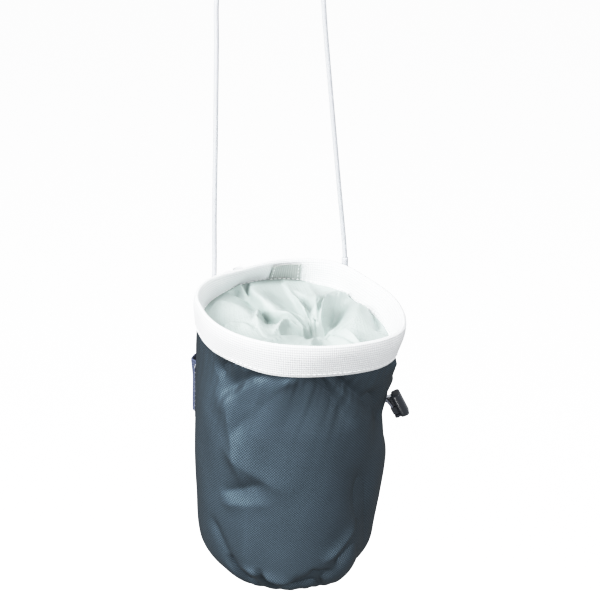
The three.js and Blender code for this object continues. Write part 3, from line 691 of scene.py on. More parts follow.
shellCloth = {
    "columns": 420,
    "wallStep": 1.0,
    "cornerRows": 26,
    "floorRows": 12,
    "top": 2.0,  # how far below the rim's crest the cloth starts
    "insideStep": 8,  # one row of the inside for so many of the outside
    "bandRoom": 2.0,  # how much thicker the wall is below the band
    "round": 2 * math.pi * 56,
    "pitch": 1.9,  # the round is a whole number of these, while the weave is drawn at 1.6
    "relief": 1.6,
    "waves": ((5, 0.045, 0.5), (9, 0.08, 0.28), (14, -0.11, 0.16)),  # turns, run down, rise
    # small gathers under the band: how many round the bag, how far they run down, their rise
    "puckers": ((57, 16.0, 0.5), (97, 10.0, 0.32), (34, 26.0, 0.5)),
    # and the same where the floor is sewn in
    "floorPuckers": ((31, 15.0, 0.32), (53, 9.0, 0.16)),
    # name, angle and way down where a crease starts and ends, its half width, its rise, and how
    # much wider it is at its end
    "creases": [
        ("left pleat", (-117, 21, -144, 40), 3.4, -3.0, 0.9),
        ("left pleat ridge", (-123, 26, -147, 50), 3.8, 2.2, 0.8),
        ("left tuck", (-142, 22, -151, 33), 2.6, -1.8, 0.8),
        ("right pleat", (-91, 19, -65, 52), 3.0, -2.0, 1.0),
        ("right pleat ridge", (-84, 20, -60, 50), 3.0, 1.2, 0.8),
        ("second right pleat", (-74, 25, -47, 50), 3.2, -2.0, 0.8),
        ("lock tuck", (-49, 42, -27, 68), 4.6, -2.6, 0.8),
        ("flare by the lock", (-30, 25, -17, 50), 8.0, 2.9, 0.2),
        ("side pinch", (-14, 66, -4, 86), 9.0, -1.6, 0.2),
        ("middle ridge", (-136, 76, -103, 93), 5.4, 1.2, 0.4),
        ("middle hollow", (-139, 101, -117, 91), 4.0, -1.1, 0.2),
        ("lower ridge", (-138, 109, -112, 103), 4.6, 0.9, 0.3),
        ("upper left streak", (-104, 22, -128, 52), 3.2, 1.6, 0.9),
        ("upper left streak hollow", (-110, 30, -136, 62), 3.4, -1.5, 0.8),
        ("left long fold", (-139, 52, -128, 92), 4.4, 1.5, 0.3),
        ("left facet", (-125, 111, -126, 150), 5.2, 0.9, 0.2),
        ("right hollow", (-50, 100, -30, 168), 9.0, -3.0, 0.3),
        ("bottom crease", (-101, 165, -70, 156), 3.2, -3.4, 0.3),
        ("left pucker", (-137, 150, -129, 167), 3.0, -3.4, 0.3),
        ("low pucker", (-127, 156, -122, 172), 2.4, -2.2, 0.2),
        ("middle pucker", (-116, 153, -110, 172), 2.4, -2.6, 0.3),
        ("right pucker", (-80, 154, -74, 172), 2.4, -2.4, 0.2),
        ("bottom ridge", (-122, 152, -96, 160), 2.8, 1.8, 0.2),
        ("right bottom fold", (-62, 150, -44, 138), 3.4, -2.4, 0.3),
        ("right bottom ridge", (-70, 144, -50, 130), 4.0, 1.6, 0.3),
        ("low left fold", (-150, 128, -136, 150), 3.6, -1.1, 0.3),
        ("right back fold", (46, 50, 60, 84), 7.0, -2.2, 0.3),
        ("left back fold", (110, 56, 134, 94), 7.0, -2.2, 0.3),
        ("low back fold", (68, 148, 112, 126), 7.0, -2.0, 0.3),
    ],
}


def creaseRise(angle, down):
    radius = (body["width"] + body["depth"]) / 4
    rise = np.zeros(np.broadcast(angle, down).shape)
    for _, (a0, d0, a1, d1), half, height, grow in shellCloth["creases"]:
        side = math.radians(a1 - a0) * radius
        drop = d1 - d0
        length = math.hypot(side, drop)
        x = np.radians((angle - a0 + 180) % 360 - 180) * radius
        y = down - d0
        along = (x * side + y * drop) / length
        across = (x * drop - y * side) / length
        share = along / length
        wide = half * (1 + grow * np.clip(share, 0, 1))
        fade = ease(-0.3, 0.12, share) * ease(1.3, 0.75, share)
        rise += height * fade * np.exp(-(np.abs(across / wide) ** 1.5))
    return rise


def clothWave(angle, down):
    rise = np.zeros(np.broadcast(angle, down).shape)
    for k, (turns, drop, size) in enumerate(shellCloth["waves"]):
        phase = 1.7 * k
        rise += size * np.sin(np.radians(turns * angle) + phase) * np.sin(drop * down + 2.1 * phase)
    return rise


def puckerRise(angle, down):
    def turns(count, phase=0.0):
        return np.sin(np.radians(count * angle) + phase)

    start = band["height"]
    end = body["height"] + body["corner"] * (math.pi / 2 - 1) - 8
    rise = np.zeros(np.broadcast(angle, down).shape)
    slant = 0.22 * (down - start)  # they lean to the left on their way down
    for k, (count, run, size) in enumerate(shellCloth["puckers"]):
        wander = 2.2 * turns(3, k) + 1.3 * turns(7, 2 * k)
        strong = 0.5 + 0.5 * turns(4 + k, 1.3 * k) * turns(9, k)
        fade = ease(0, 5, down - start) * np.exp(-np.maximum(down - start, 0) / run)
        rise += size * strong * fade * np.sin(np.radians(count * (angle + slant)) + wander)
    for k, (count, run, size) in enumerate(shellCloth["floorPuckers"]):
        strong = 0.6 + 0.4 * turns(3, 2 * k)
        fade = np.exp(-(((down - end) / run) ** 2))
        rise += size * strong * fade * turns(count, 2.0 * turns(5, k))
    return rise


def shellPoint(angle, down, corner=0.0, floor=0.0):
    point = smoothShell(angle, down, corner, floor)
    bend = np.asarray(corner) * math.pi / 2
    surfaceDown = down + body["corner"] * bend
    rise = shellCloth["relief"] * creaseRise(angle, surfaceDown) + clothWave(angle, surfaceDown)
    rise = rise + puckerRise(angle, surfaceDown)
    rise = rise * (1 - np.asarray(floor)) * ease(18.0, 26.0, surfaceDown)
    point = point + heading(angle) * (rise * np.cos(bend))[..., None]
    point[..., 2] -= rise * np.sin(bend)
    return point


def makeShell():
    wallEnd = body["height"] - body["corner"]
    downs = np.arange(shellCloth["top"], wallEnd, shellCloth["wallStep"])
    corners = np.arange(1, shellCloth["cornerRows"] + 1) / shellCloth["cornerRows"]
    floors = np.arange(1, shellCloth["floorRows"]) / shellCloth["floorRows"]
    flat = np.ones_like(floors)
    down = np.concatenate([downs, np.full(len(corners) + 1, wallEnd), flat * wallEnd])
    corner = np.concatenate([np.zeros(len(downs) + 1), corners, flat])
    floor = np.concatenate([np.zeros(len(downs) + 1 + len(corners)), floors])
    angles = ringAngles(shellCloth["columns"])
    outer = shellPoint(angles[None], down[:, None], corner[:, None], floor[:, None])
    step = shellCloth["insideStep"]
    keep = np.unique(np.concatenate([[0], np.arange(step, len(down), step), [len(down) - 1]]))
    down, corner, floor = down[keep], corner[keep], floor[keep]
    inside = smoothShell(angles[None], down[:, None], corner[:, None], floor[:, None])
    bend = corner * math.pi / 2
    room = body["wall"] + shellCloth["bandRoom"] * ease(band["height"], band["height"] + 12, down)
    inside = inside - heading(angles)[None] * (room * np.cos(bend) * (1 - floor))[:, None, None]
    inside[..., 2] += (body["wall"] * np.sin(bend))[:, None]
    rings = np.concatenate([inside[::-1], outer])
    alongOut = lengthsAlong(outer[:, 0])
    along = np.concatenate([-alongOut[keep][::-1] - 5, alongOut])
    across = wholeThreads(shellCloth["round"], shellCloth["pitch"], shellCloth["columns"])
    floorMiddle = smoothShell(np.array([0.0]), np.array([wallEnd]), 1.0, 1.0)[0]
    ends = [floorMiddle + (0, 0, body["wall"]), floorMiddle]
    mesh = loft("shellCloth", rings, across, along, finish["shell"], ends=ends)
    return addPiece("shellCloth", mesh, "shell_fabric", "bag", "shell")


makeShell()
print("shell made")


# Rim: one webbing folded over the shell's edge

outerFace = band["gap"] + band["wall"]  # the band's faces, from the shell's outer face
innerFace = -body["wall"] - 2 * band["gap"] - band["wall"]

rim = {
    "pinch": 0.75,  # how far the fold is pressed flat from each side at its crest
    "shoulder": 6.0,
    "puff": 0.35,  # how far the webbing bulges between its edge and its crest
    "step": 0.8,
    "pitch": 1.25,
}


def bandSection():
    outer = outerFace
    innerSlot = -body["wall"] - band["gap"]
    inner = innerSlot - band["wall"]
    crest = (outer - inner) / 2 - rim["pinch"]
    middle = (outer + inner) / 2

    def pinch(down):
        return rim["pinch"] * (1 - min(1, (down - crest) / rim["shoulder"])) ** 2

    downs = np.arange(band["height"] - 0.3, crest, -rim["step"])
    section = [(outer - 0.25, band["height"]), (outer, band["height"] - 0.3)]
    for d in downs[1:]:
        section.append((outer + rim["puff"] * math.sin(math.pi * d / band["height"]) - pinch(d), d))
    for turn in np.linspace(0, math.pi, 11):
        section.append((middle + crest * math.cos(turn), crest * (1 - math.sin(turn))))
    for d in np.arange(crest + rim["step"], band["inside"] - 0.3, rim["step"]):
        puff = 0.4 * rim["puff"] * math.sin(math.pi * d / band["inside"])
        section.append((inner - puff + pinch(d), d))
    section += [(inner, band["inside"] - 0.3), (inner + 0.25, band["inside"])]
    section += [(innerSlot, band["inside"]), (innerSlot, 2.0), (band["gap"], 2.0)]
    section += [(band["gap"], band["height"])]
    return section


def makeBand():
    section = bandSection()
    angles = ringAngles(band["columns"])
    rings = []
    for stand, down in section:
        wave = 0.16 * np.sin(np.radians(7 * angles) + 0.11 * down) * ease(1.5, 8.0, down)
        stands = stand + wave * (stand != band["gap"])
        rings.append(offMouth(angles, np.full_like(angles, down), stands))
    rings = np.array(rings)
    along = lengthsAlong(np.array(section + section[:1]))
    across = wholeThreads(2 * math.pi * mouth["radius"], rim["pitch"], band["columns"])
    mesh = loft("rimWebbing", rings, across, along, finish["band"], loop=True)
    return addPiece("rimWebbing", mesh, "rim_webbing", "bag", "rim_band")


makeBand()
print("band made")


# Lining: gathered cloth from the seam to the hole

lining = {
    "columns": 220,
    "rows": 50,
    "thick": 0.35,
    "length": 46.0,  # of the flat cloth, seam to gather
    "round": 358.0,
    "hold": 0.6,
    "drape": {"pull": 30.0, "stretch": 5.0, "shear": 2.0, "bend": 0.02, "spare": 0.05,
              "weight": 0.1, "frames": 10},
    "gather": (9.0, -8.0, -20.0),
    "hole": 4.5,
    "sag": 2.0,
    "relief": 1.5,
    "funnel": 6.0,  # how far the gather is drawn down
    "hem": 6.0,  # the cloth that hangs below the gather
    # name, half widths on the left and on the right of its way, how far its crest leans to the
    # narrower side, and points in plan from the middle of the mouth with the fold's rise there
    "folds": [
        ("long pleat", (11.0, 1.3), 2.2, [
            (-23, 56, 1), (-22, 33, 3.5), (-19, 22, 5), (-15, 9, 6), (-9, 2, 6), (-2, -1, 5),
            (5, -5, 2)]),
        ("pleat groove", (2.0, 5.0), 0, [
            (-25, 52, -1.5), (-25, 38, -2.5), (-22, 24, -3), (-18, 13, -3.5), (-13, 4, -2)]),
        ("back lobe", (9.0, 1.4), 1.2, [
            (-1, 54, 1), (1, 36, 2), (3, 24, 4), (4, 11, 4.5), (6, 2, 3)]),
        ("slit", (1.6, 2.4), 0, [(4, 38, -1), (7, 27, -3.5), (8, 16, -4.5), (8, 4, -2)]),
        ("right back lobe", (5.0, 5.0), 0, [(13, 56, 1), (14, 34, 3), (12, 16, 4), (9, 2, 3)]),
        ("curved fold", (2.6, 1.5), 1.6, [
            (37, 44, 1), (27, 29, 4), (20, 18, 6.5), (16, 8, 6.5), (13, -1, 5.5), (10, -5, 2.5)]),
        ("roll hollow", (7.0, 2.0), 0, [
            (29, 30, -2), (24, 19, -4.5), (20, 8, -4.5), (15, -4, -3)]),
        ("lobe by the fold", (6.0, 4.0), 0, [(32, 48, 1), (22, 34, 2.5), (16, 22, 2)]),
        ("right billow", (10.0, 9.0), 0, [(44, 32, 2), (38, 14, 4.5), (33, 0, 5), (27, -12, 3)]),
        ("right crease", (1.6, 3.0), 0, [(46, 33, -1), (42, 26, -2.5), (41, 18, -1)]),
        ("right shade", (3.0, 3.0), 0, [(44, 20, -1), (46, 6, -3), (45, -6, -2)]),
        ("front tip", (2.2, 2.2), 0, [(31, -34, 2), (23, -23, 5), (17, -15, 1)]),
        ("left billow", (12.0, 10.0), 0, [
            (-48, 30, 1), (-38, 18, 3.5), (-33, 8, 4.5), (-28, -6, 4)]),
        ("dimple lip", (3.4, 1.2), 0.8, [
            (-26, 40, 2), (-30, 47, 3), (-37, 47, 2.5), (-45, 40, 1)]),
        ("dimple", (2.0, 2.6), 0, [(-38, 43, -1), (-33, 43, -3), (-28, 38, -2)]),
        ("middle bump", (3.4, 2.0), 0.6, [
            (-24, 24, 1), (-22, 14, 2.5), (-23, 4, 3.5), (-26, -8, 3)]),
        ("middle hollow", (1.8, 3.0), 0, [(-18, 12, -1), (-19, 3, -3.5), (-22, -4, -4)]),
        ("front arc", (1.4, 3.0), 1.2, [
            (6, -8, 1.5), (2, -5, 4), (-3, -4, 5), (-8, -3, 5), (-12, -6, 4.5), (-15, -12, 2)]),
        ("arc hollow", (1.8, 2.0), 0, [(-11, -12, -2), (-7, -9, -4), (-1, -10, -3)]),
        ("low left peak", (2.0, 2.6), 0.6, [
            (-47, -16, 1.5), (-42, -11, 3.5), (-36, -10, 2), (-31, -13, 1)]),
        ("front right fold", (5.0, 4.0), 0, [(34, -46, 0.5), (22, -30, 3), (13, -16, 2)]),
        ("front fold", (6.0, 4.0), 0, [(-4, -56, 0.5), (0, -36, 3.5), (6, -18, 2)]),
        ("front left fold", (6.0, 4.0), 0, [(-36, -44, 0.5), (-24, -32, 3.5), (-4, -18, 2)]),
    ],
}


def liningSeam(angle):
    return offMouth(angle, np.full_like(angle, band["inside"] - 0.6), innerFace + 0.6)


def flatLining(angle, share):
    seam = liningSeam(angle)
    gather = heading(angle) * lining["hole"] + np.array(lining["gather"])
    return seam + (gather - seam) * np.asarray(share)[..., None]


def foldShift(x, y):
    shift = np.zeros((*x.shape, 3))
    for _, (left, right), leanTo, points in lining["folds"]:
        line = throughPoints(points, 16)
        way = np.gradient(line[:, :2], axis=0)
        way /= np.linalg.norm(way, axis=1, keepdims=True)
        dx, dy = x[..., None] - line[:, 0], y[..., None] - line[:, 1]
        spot = np.argmin(dx * dx + dy * dy, axis=-1)
        dx, dy = x - line[spot, 0], y - line[spot, 1]
        wide = np.where(way[spot, 0] * dy - way[spot, 1] * dx > 0, left, right)
        near = np.exp(-(((dx * dx + dy * dy) / wide**2) ** 0.8))
        shift[..., 2] += line[spot, 2] * near * lining["relief"]
        lean = leanTo * (1 if left < right else -1) * line[spot, 2] / line[:, 2].max()
        crest = np.exp(-((dx * dx + dy * dy) / np.minimum(wide, 4.0) ** 2)) * lean
        shift[..., 0] -= way[spot, 1] * crest
        shift[..., 1] += way[spot, 0] * crest
    return shift


def makeLining():
    angles = ringAngles(lining["columns"])
    shares = np.linspace(0, 1, lining["rows"])
    angle, share = np.meshgrid(angles, shares)
    top = flatLining(angle, share)
    edge = ease(0, 0.08, share) * ease(1, 0.93, share)
    top[..., 2] += lining["sag"] * np.sin(math.pi * share) * edge
    top += foldShift(top[..., 0], top[..., 1]) * edge[..., None]
    tuck = 0.35 * np.sin(np.radians(17 * angle)) + 0.25 * np.sin(np.radians(29 * angle) + 1.0)
    top[..., 2] += tuck * ease(0.5, 0.95, share) * edge - lining["funnel"] * ease(0.78, 1, share)
    free = ease(0.0, 0.03, share) * ease(1, 0.97, share)
    hold = lining["hold"] + (1 - lining["hold"]) * (1 - free)
    top = finer(settle("liningDrape", top, hold, lining["drape"]))
    low = top - gridNormals(top) * lining["thick"] * np.sign(gridNormals(top)[..., 2].mean())
    angles = ringAngles(top.shape[1])
    hem = top[-1] + (0, 0, -lining["hem"])
    rings = np.concatenate([top, [hem, hem + heading(angles) * lining["thick"]], low[::-1]])
    end = lining["length"]
    down = np.linspace(0, end, len(top))
    along = np.concatenate([down, [end + 6, end + 6.4], end + 7 + down, [2 * end + 8]])
    across = np.linspace(0, lining["round"], len(angles) + 1)
    mesh = loft("liningCloth", rings, across, along, finish["lining"], loop=True)
    return addPiece("liningCloth", mesh, "lining_fabric", "bag", "lining_collar")


liningPiece = makeLining()
print("lining made")


# Webbings: the join patch, the brush loop and the belt loops

webbing = {
    "patchAngle": 90.0,
    "patchWidth": 19.0,
    "patchWall": 0.8,
    "patchTop": 1.6,
    "patchHeight": 14.6,
    "brushAngle": 149.0,
    "brushDown": 65.5,
    "brushHeight": 33.0,
    "brushWall": 1.2,
    "brushReach": 21.0,
    "brushStand": 5.4,
    "beltAngles": {"Left": 123.0, "Right": 70.0},
    "beltWidth": 9.0,
    "beltWall": 1.3,
    "beltTop": 3.0,
    "beltLength": 38.0,
    "beltStand": 7.0,
    "sewnEnd": 5.0,
    "seat": 0.4,
}


def archStand(share, length, stand, seat):
    sewn = webbing["sewnEnd"] / length
    rise = np.minimum(ease(sewn, 0.5 - sewn / 2, share), ease(1 - sewn, 0.5 + sewn / 2, share))
    return seat + (stand - seat) * rise


def offShell(angle, down, stand):
    way = outward(smoothShell, angle, down)
    onBody = smoothShell(angle, down) + way * np.asarray(stand)[..., None]
    onBand = np.asarray(down) <= band["height"]
    return np.where(onBand[..., None], offMouth(angle, down, stand), onBody)


def strap(name, place, length, width, material, rows=64, steps=14):
    across, over = flatSection(steps)
    share = np.linspace(0, 1, rows)
    rings = place(share[:, None] + 0 * across[None], across[None] + 0 * share[:, None], over[None])
    ends = [rings[0].mean(0), rings[-1].mean(0)]
    threads = np.concatenate([across * width, [0]])
    return loft(name, rings, threads, share * length, material, ends=ends)


def bodyReach(angle, down):
    spot = smoothShell(np.array([angle]), np.array([down]))[0]
    return math.hypot(spot[0], spot[1])


# Where a share of a webbing's length, of its width and of its thickness lies
def patchPlace(share, along, over):
    reach = float(roundTable(mouth["rows"], 1, np.array([webbing["patchAngle"]]))[0])
    reach *= mouth["radius"]
    angle = webbing["patchAngle"] + np.degrees((along - 0.5) * webbing["patchWidth"] / reach)
    down = webbing["patchTop"] + share * webbing["patchHeight"]
    return offMouth(angle, down, innerFace + 0.25 - over * webbing["patchWall"])


def brushPlace(share, along, over):
    length = webbing["brushReach"] + webbing["sewnEnd"]
    reach = bodyReach(webbing["brushAngle"], webbing["brushDown"])
    angle = webbing["brushAngle"] + np.degrees((share - 0.5) * length / reach)
    down = webbing["brushDown"] + (along - 0.5) * webbing["brushHeight"]
    stand = archStand(share, length, webbing["brushStand"], webbing["seat"])
    return offShell(angle, down, stand + over * webbing["brushWall"])


def beltPlace(middle, share, along, over):
    down = webbing["beltTop"] + share * webbing["beltLength"]
    onBand = 1 - ease(band["height"], band["height"] + webbing["sewnEnd"], down)
    stand = archStand(share, webbing["beltLength"], webbing["beltStand"] + outerFace,
                      webbing["seat"] + outerFace * onBand)
    reach = bodyReach(middle, band["height"])
    angle = middle + np.degrees((along - 0.5) * webbing["beltWidth"] / reach)
    return offShell(angle, down, stand + over * webbing["beltWall"])


def makePatch():
    mesh = strap("joinPatch", patchPlace, band["inside"], webbing["patchWidth"], finish["patch"],
                 24, 20)
    return addPiece("joinPatch", mesh, "patch_webbing", "bag", "rim_patch")


def makeBrushLoop():
    length = webbing["brushReach"] + webbing["sewnEnd"]
    mesh = strap("brushLoop", brushPlace, length, webbing["brushHeight"], finish["brush"], 72, 28)
    return addPiece("brushLoop", mesh, "brush_webbing", "bag", "brush_loop")


def makeBeltLoop(side, middle):
    name = "beltLoop" + side
    mesh = strap(name, functools.partial(beltPlace, middle), webbing["beltLength"],
                 webbing["beltWidth"], finish["band"])
    return addPiece(name, mesh, "rim_webbing", "bag", "belt_loop_" + side.lower())


makePatch()
makeBrushLoop()
for beltSide, beltAngle in webbing["beltAngles"].items():
    makeBeltLoop(beltSide, beltAngle)
print("webbings made")


# Cord lock, in a frame of its own: x away from the bag, z up along the lock

lock = {
    "place": (61.82373, -60.07888, -258.25809),
    "turn": -9.0,
    "tilt": 26.0,
    "length": 15.2,
    "thick": 5.2,
    "deep": 8.4,
    "round": 1.7,
    "nearRound": 1.2,
    "nearWide": 2.8,  # times nearRound, along x
    "endRound": 0.8,
    "button": (-3.7, 1.3, 5.2, 5.2),  # outer face, inner face, depth, length
    "buttonMiddle": -9.95,
    "pocket": 3.4,  # how deep the button's place is cut, each way from the barrel's near side
    "play": 0.25,  # round the button
    "footTop": -12.8,
    "ribReach": 1.7,
    "footLength": 1.7,
    "footReach": 3.4,
    "nubRadius": 0.9,
    "nubLength": 1.4,
}

lockFrame = (
    Matrix.Translation(Vector(lock["place"]) / 1000)
    @ Matrix.Rotation(math.radians(lock["turn"]), 4, "Z")
    @ Matrix.Rotation(math.radians(-lock["tilt"]), 4, "Y")
)


# A section with rounded corners, given by its four sides; the near corners may be wide along x
def roundSection(x0, x1, y0, y1, nearRound, farRound, wide, steps=9):
    corners = [(x1, y1, farRound, 0), (x0, y1, nearRound, 90),
               (x0, y0, nearRound, 180), (x1, y0, farRound, 270)]
    out = []
    for x, y, r, start in corners:
        r = max(r, 0.02)
        reach = r * (wide if start in (90, 180) else 1)
        cx = x - math.copysign(reach, x - (x0 + x1) / 2)
        cy = y - math.copysign(r, y - (y0 + y1) / 2)
        for turn in np.radians(start + np.linspace(0, 90, steps)):
            out.append((cx + reach * math.cos(turn), cy + r * math.sin(turn)))
    return np.array(out)


def roundBlock(name, x, y, z, nearRound, farRound, endRound, wide=1.0, rows=6):
    rings = []
    heights = []
    for turn in np.linspace(0, math.pi / 2, rows):
        heights.append((z[0] + endRound * (1 - math.sin(turn)), endRound * (1 - math.cos(turn))))
    heights = heights[::-1]
    heights += [(z[0] + z[1] - h, inset) for h, inset in reversed(heights)]
    for height, inset in heights:
        flat = roundSection(x[0] + inset, x[1] - inset, y[0] + inset, y[1] - inset,
                            nearRound - inset, farRound - inset, wide)
        rings.append(np.column_stack([flat, np.full(len(flat), height)]))
    rings = np.array(rings)
    ends = [rings[0].mean(0), rings[-1].mean(0)]
    across, along = np.arange(rings.shape[1] + 1) * 0.3, np.arange(len(rings)) * 1.0
    return loft(name, rings, across, along, None, ends=ends, place=(0, 0, 0))


# Joins and cuts closed meshes, then softens the edges that the cut leaves sharp
def combine(name, base, joins, cuts, bevel=0.15):
    holder = addObject(name, base)
    helpers = []
    for mesh, operation in [(m, "UNION") for m in joins] + [(m, "DIFFERENCE") for m in cuts]:
        helpers.append(addObject(name + "Helper", mesh))
        change = holder.modifiers.new("shape", "BOOLEAN")
        change.object, change.operation, change.solver = helpers[-1], operation, "EXACT"
    soft = holder.modifiers.new("edges", "BEVEL")
    soft.width, soft.segments, soft.limit_method = bevel / 1000, 2, "ANGLE"
    soft.angle_limit = math.radians(50)
    soft.harden_normals = False
    mesh = meshNow(holder)
    for temp in [holder, *helpers]:
        bpy.data.objects.remove(temp)
    return mesh


def smoothByAngle(mesh, degrees):
    work = bmesh.new()
    work.from_mesh(mesh)
    bmesh.ops.remove_doubles(work, verts=work.verts, dist=1e-7)
    for face in work.faces:
        face.smooth = True
    for edge in work.edges:
        if len(edge.link_faces) == 2:
            edge.smooth = edge.calc_face_angle(0) < math.radians(degrees)
    work.to_mesh(mesh)
    work.free()


# Moves a piece from the lock's frame to its place
def addLockPiece(name, mesh, look, node, slot, body="bag"):
    if look == "lock":
        smoothByAngle(mesh, 34)
    mesh.name = name
    mesh.materials.clear()
    mesh.materials.append(finish[look])
    mesh.transform(lockFrame)
    return addPiece(name, mesh, slot, body, node)


def makeLockBody():
    deep = lock["deep"] / 2
    barrel = roundBlock("lockBody", (0, lock["thick"]), (-deep, deep), (-lock["length"], 0),
                        lock["nearRound"], lock["round"], lock["endRound"], lock["nearWide"])
    halfDeep, halfLong = lock["button"][2] / 2, lock["button"][3] / 2 + lock["play"]
    footEnd = lock["footTop"] - lock["footLength"]
    foot = roundBlock("foot", (-lock["footReach"], lock["thick"] / 2),
                      (-halfDeep - 0.4, halfDeep + 0.4), (footEnd, lock["footTop"]), 0.5, 0.5, 0.4)
    radius = lock["nubRadius"]
    nubX = -lock["footReach"] / 2 - radius / 2
    nub = roundBlock("nub", (nubX - radius, nubX + radius), (-radius, radius),
                     (footEnd - lock["nubLength"], lock["footTop"] - 0.6), radius, radius, 0.3)
    rib = roundBlock("rib", (-lock["ribReach"], 1.0), (-2.6, 2.6), (-6.9, -0.8), 0.6, 0.3, 0.5)
    reach, side, middle = lock["pocket"], halfDeep + lock["play"], lock["buttonMiddle"]
    pocket = roundBlock("pocket", (-reach, reach), (-side, side),
                        (middle - halfLong, middle + halfLong), 0.1, 0.1, 0.05)
    mesh = combine("lockBody", barrel, [foot, nub, rib], [pocket])
    return addLockPiece("lockBody", mesh, "lock", "cord_lock_body", "lock_plastic")


def makeButton():
    outer, inner, deep, long = lock["button"]
    middle = lock["buttonMiddle"]
    block = roundBlock("lockButton", (outer, inner), (-deep / 2, deep / 2),
                       (middle - long / 2, middle + long / 2), 0.6, 0.3, 0.4)
    wedge = roundBlock("wedge", (-3.0, 3.0), (-deep, deep), (-1.2, 1.2), 0.1, 0.1, 0.05)
    wedge.transform(Matrix.Translation(Vector((outer - 0.2, 0, middle - long / 2 - 0.5)) / 1000)
                    @ Matrix.Rotation(math.radians(45), 4, "Y"))
    mesh = combine("lockButton", block, [], [wedge], 0.2)
    return addLockPiece("lockButton", mesh, "lock", "cord_lock_button", "lock_plastic",
                        "lock_button")


# Tab: a ribbed tape from the shell down beside the barrel to the lock's foot
tab = {
    "line": [(-5.4, -0.9), (-4.2, -1.3), (-3.4, -2.2), (-3.0, -3.5), (-2.7, -5.0), (-2.4, -7.0)],
    "wall": 1.2,
    "width": 6.0,
}


def makeTab():
    line = throughPoints([(x, 0, z) for x, z in tab["line"]], 6)
    ways = np.gradient(line, axis=0)
    ways /= np.linalg.norm(ways, axis=1, keepdims=True)
    normal = np.column_stack([ways[:, 2], 0 * ways[:, 0], -ways[:, 0]])
    across, over = flatSection(8)
    rings = line[:, None] + normal[:, None] * ((over - 0.5) * tab["wall"])[None, :, None]
    rings[..., 1] += ((across - 0.5) * tab["width"])[None]
    mesh = loft("lockTab", rings, np.concatenate([across * tab["width"], [0]]), lengthsAlong(line),
                None, ends=[rings[0].mean(0), rings[-1].mean(0)], place=(0, 0, 0))
    return addLockPiece("lockTab", mesh, "tab", "lock_tab", "tab_webbing")


# The gathering cord comes out of the shell and goes into the barrel
drawcord = {
    **sling,
    "diameter": 2.0,
    "lay": 7.0,
    "points": [(-4.4, -0.6, 0.5), (-3.0, -0.5, 0.3), (-1.6, -0.4, -0.3), (-0.2, -0.4, -1.2)],
}


def makeDrawcord():
    path = resample(np.array(drawcord["points"]), 0.3)
    mesh = braidedCord("drawcordEnd", path, drawcord, None)
    return addLockPiece("drawcordEnd", mesh, "cord", "drawcord", "white_cord")


makeLockBody()
makeButton()
makeTab()
makeDrawcord()
print("cord lock made")


# Stitches: one tree lays capsules of thread along a path

def stitchTree():
    tree = bpy.data.node_groups.new("stitchRow", "GeometryNodeTree")
    face = tree.interface
    face.new_socket("Path", in_out="INPUT", socket_type="NodeSocketGeometry")
    for name, value in (("Pitch", 0.003), ("Stitch Length", 0.0024), ("Thread Width", 0.0005)):
        socket = face.new_socket(name, in_out="INPUT", socket_type="NodeSocketFloat")
        socket.default_value = value
    face.new_socket("Thread", in_out="INPUT", socket_type="NodeSocketMaterial")
    face.new_socket("Stitches", in_out="OUTPUT", socket_type="NodeSocketGeometry")
    source = addNode(tree, "NodeGroupInput")
    line = addNode(tree, "GeometryNodeMeshToCurve", None, {0: source.outputs["Path"]})
    spots = addNode(tree, "GeometryNodeResampleCurve", {"mode": "LENGTH"}, {
        "Curve": line.outputs[0], "Length": source.outputs["Pitch"],
    })
    way = addNode(tree, "GeometryNodeInputTangent")
    turn = addNode(tree, "FunctionNodeAlignRotationToVector", {"axis": "X"}, {
        "Vector": way.outputs[0],
    })
    bead = addNode(tree, "GeometryNodeMeshUVSphere", None, {
        "Segments": 8, "Rings": 6, "Radius": 0.5,
    })
    size = addNode(tree, "ShaderNodeCombineXYZ", None, {
        0: source.outputs["Stitch Length"], 1: source.outputs["Thread Width"],
        2: source.outputs["Thread Width"],
    })
    row = addNode(tree, "GeometryNodeInstanceOnPoints", None, {
        "Points": spots.outputs[0], "Instance": bead.outputs[0], "Rotation": turn.outputs[0],
        "Scale": size.outputs[0],
    })
    real = addNode(tree, "GeometryNodeRealizeInstances", None, {0: row.outputs[0]})
    coat = addNode(tree, "GeometryNodeSetMaterial", None, {
        "Geometry": real.outputs[0], "Material": source.outputs["Thread"],
    })
    addNode(tree, "NodeGroupOutput", None, {0: coat.outputs[0]})
    return tree


stitchRow = stitchTree()


# Several paths become one piece of stitches
def makeStitches(name, slot, paths, pitch, length, width=0.5):
    points, edges = [], []
    for path in paths:
        start = len(points)
        points += ((path + np.array(view["aim"])) / 1000).tolist()
        edges += [(k, k + 1) for k in range(start, len(points) - 1)]
    mesh = bpy.data.meshes.new(name)
    mesh.from_pydata(points, edges, [])
    holder = addObject(name, mesh)
    change = holder.modifiers.new("stitches", "NODES")
    change.node_group = stitchRow
    values = {"Pitch": pitch / 1000, "Stitch Length": length / 1000, "Thread Width": width / 1000,
              "Thread": finish["thread"]}
    for item in stitchRow.interface.items_tree:
        if item.in_out == "INPUT" and item.name in values:
            change[item.identifier] = values[item.name]
    rows = meshNow(holder)
    holder.modifiers.clear()
    bpy.data.objects.remove(holder)
    rows.name = name
    rows.polygons.foreach_set("use_smooth", [True] * len(rows.polygons))
    return addPiece(name, rows, slot, "bag")


def ringPath(stand, down, step=0.75):
    angle = np.arange(-180.0, 180.0 + step, step)
    return offMouth(angle, np.full_like(angle, float(down)), stand)


# A row on a webbing from one pair of shares of its length and width to another
def rowOn(piece, start, end):
    share, along = np.linspace(start, end, stitching[piece]["steps"]).T
    over = 1 + stitching[piece]["lift"] / webbing[piece + "Wall"]
    return stitching[piece]["place"](share, along, over)


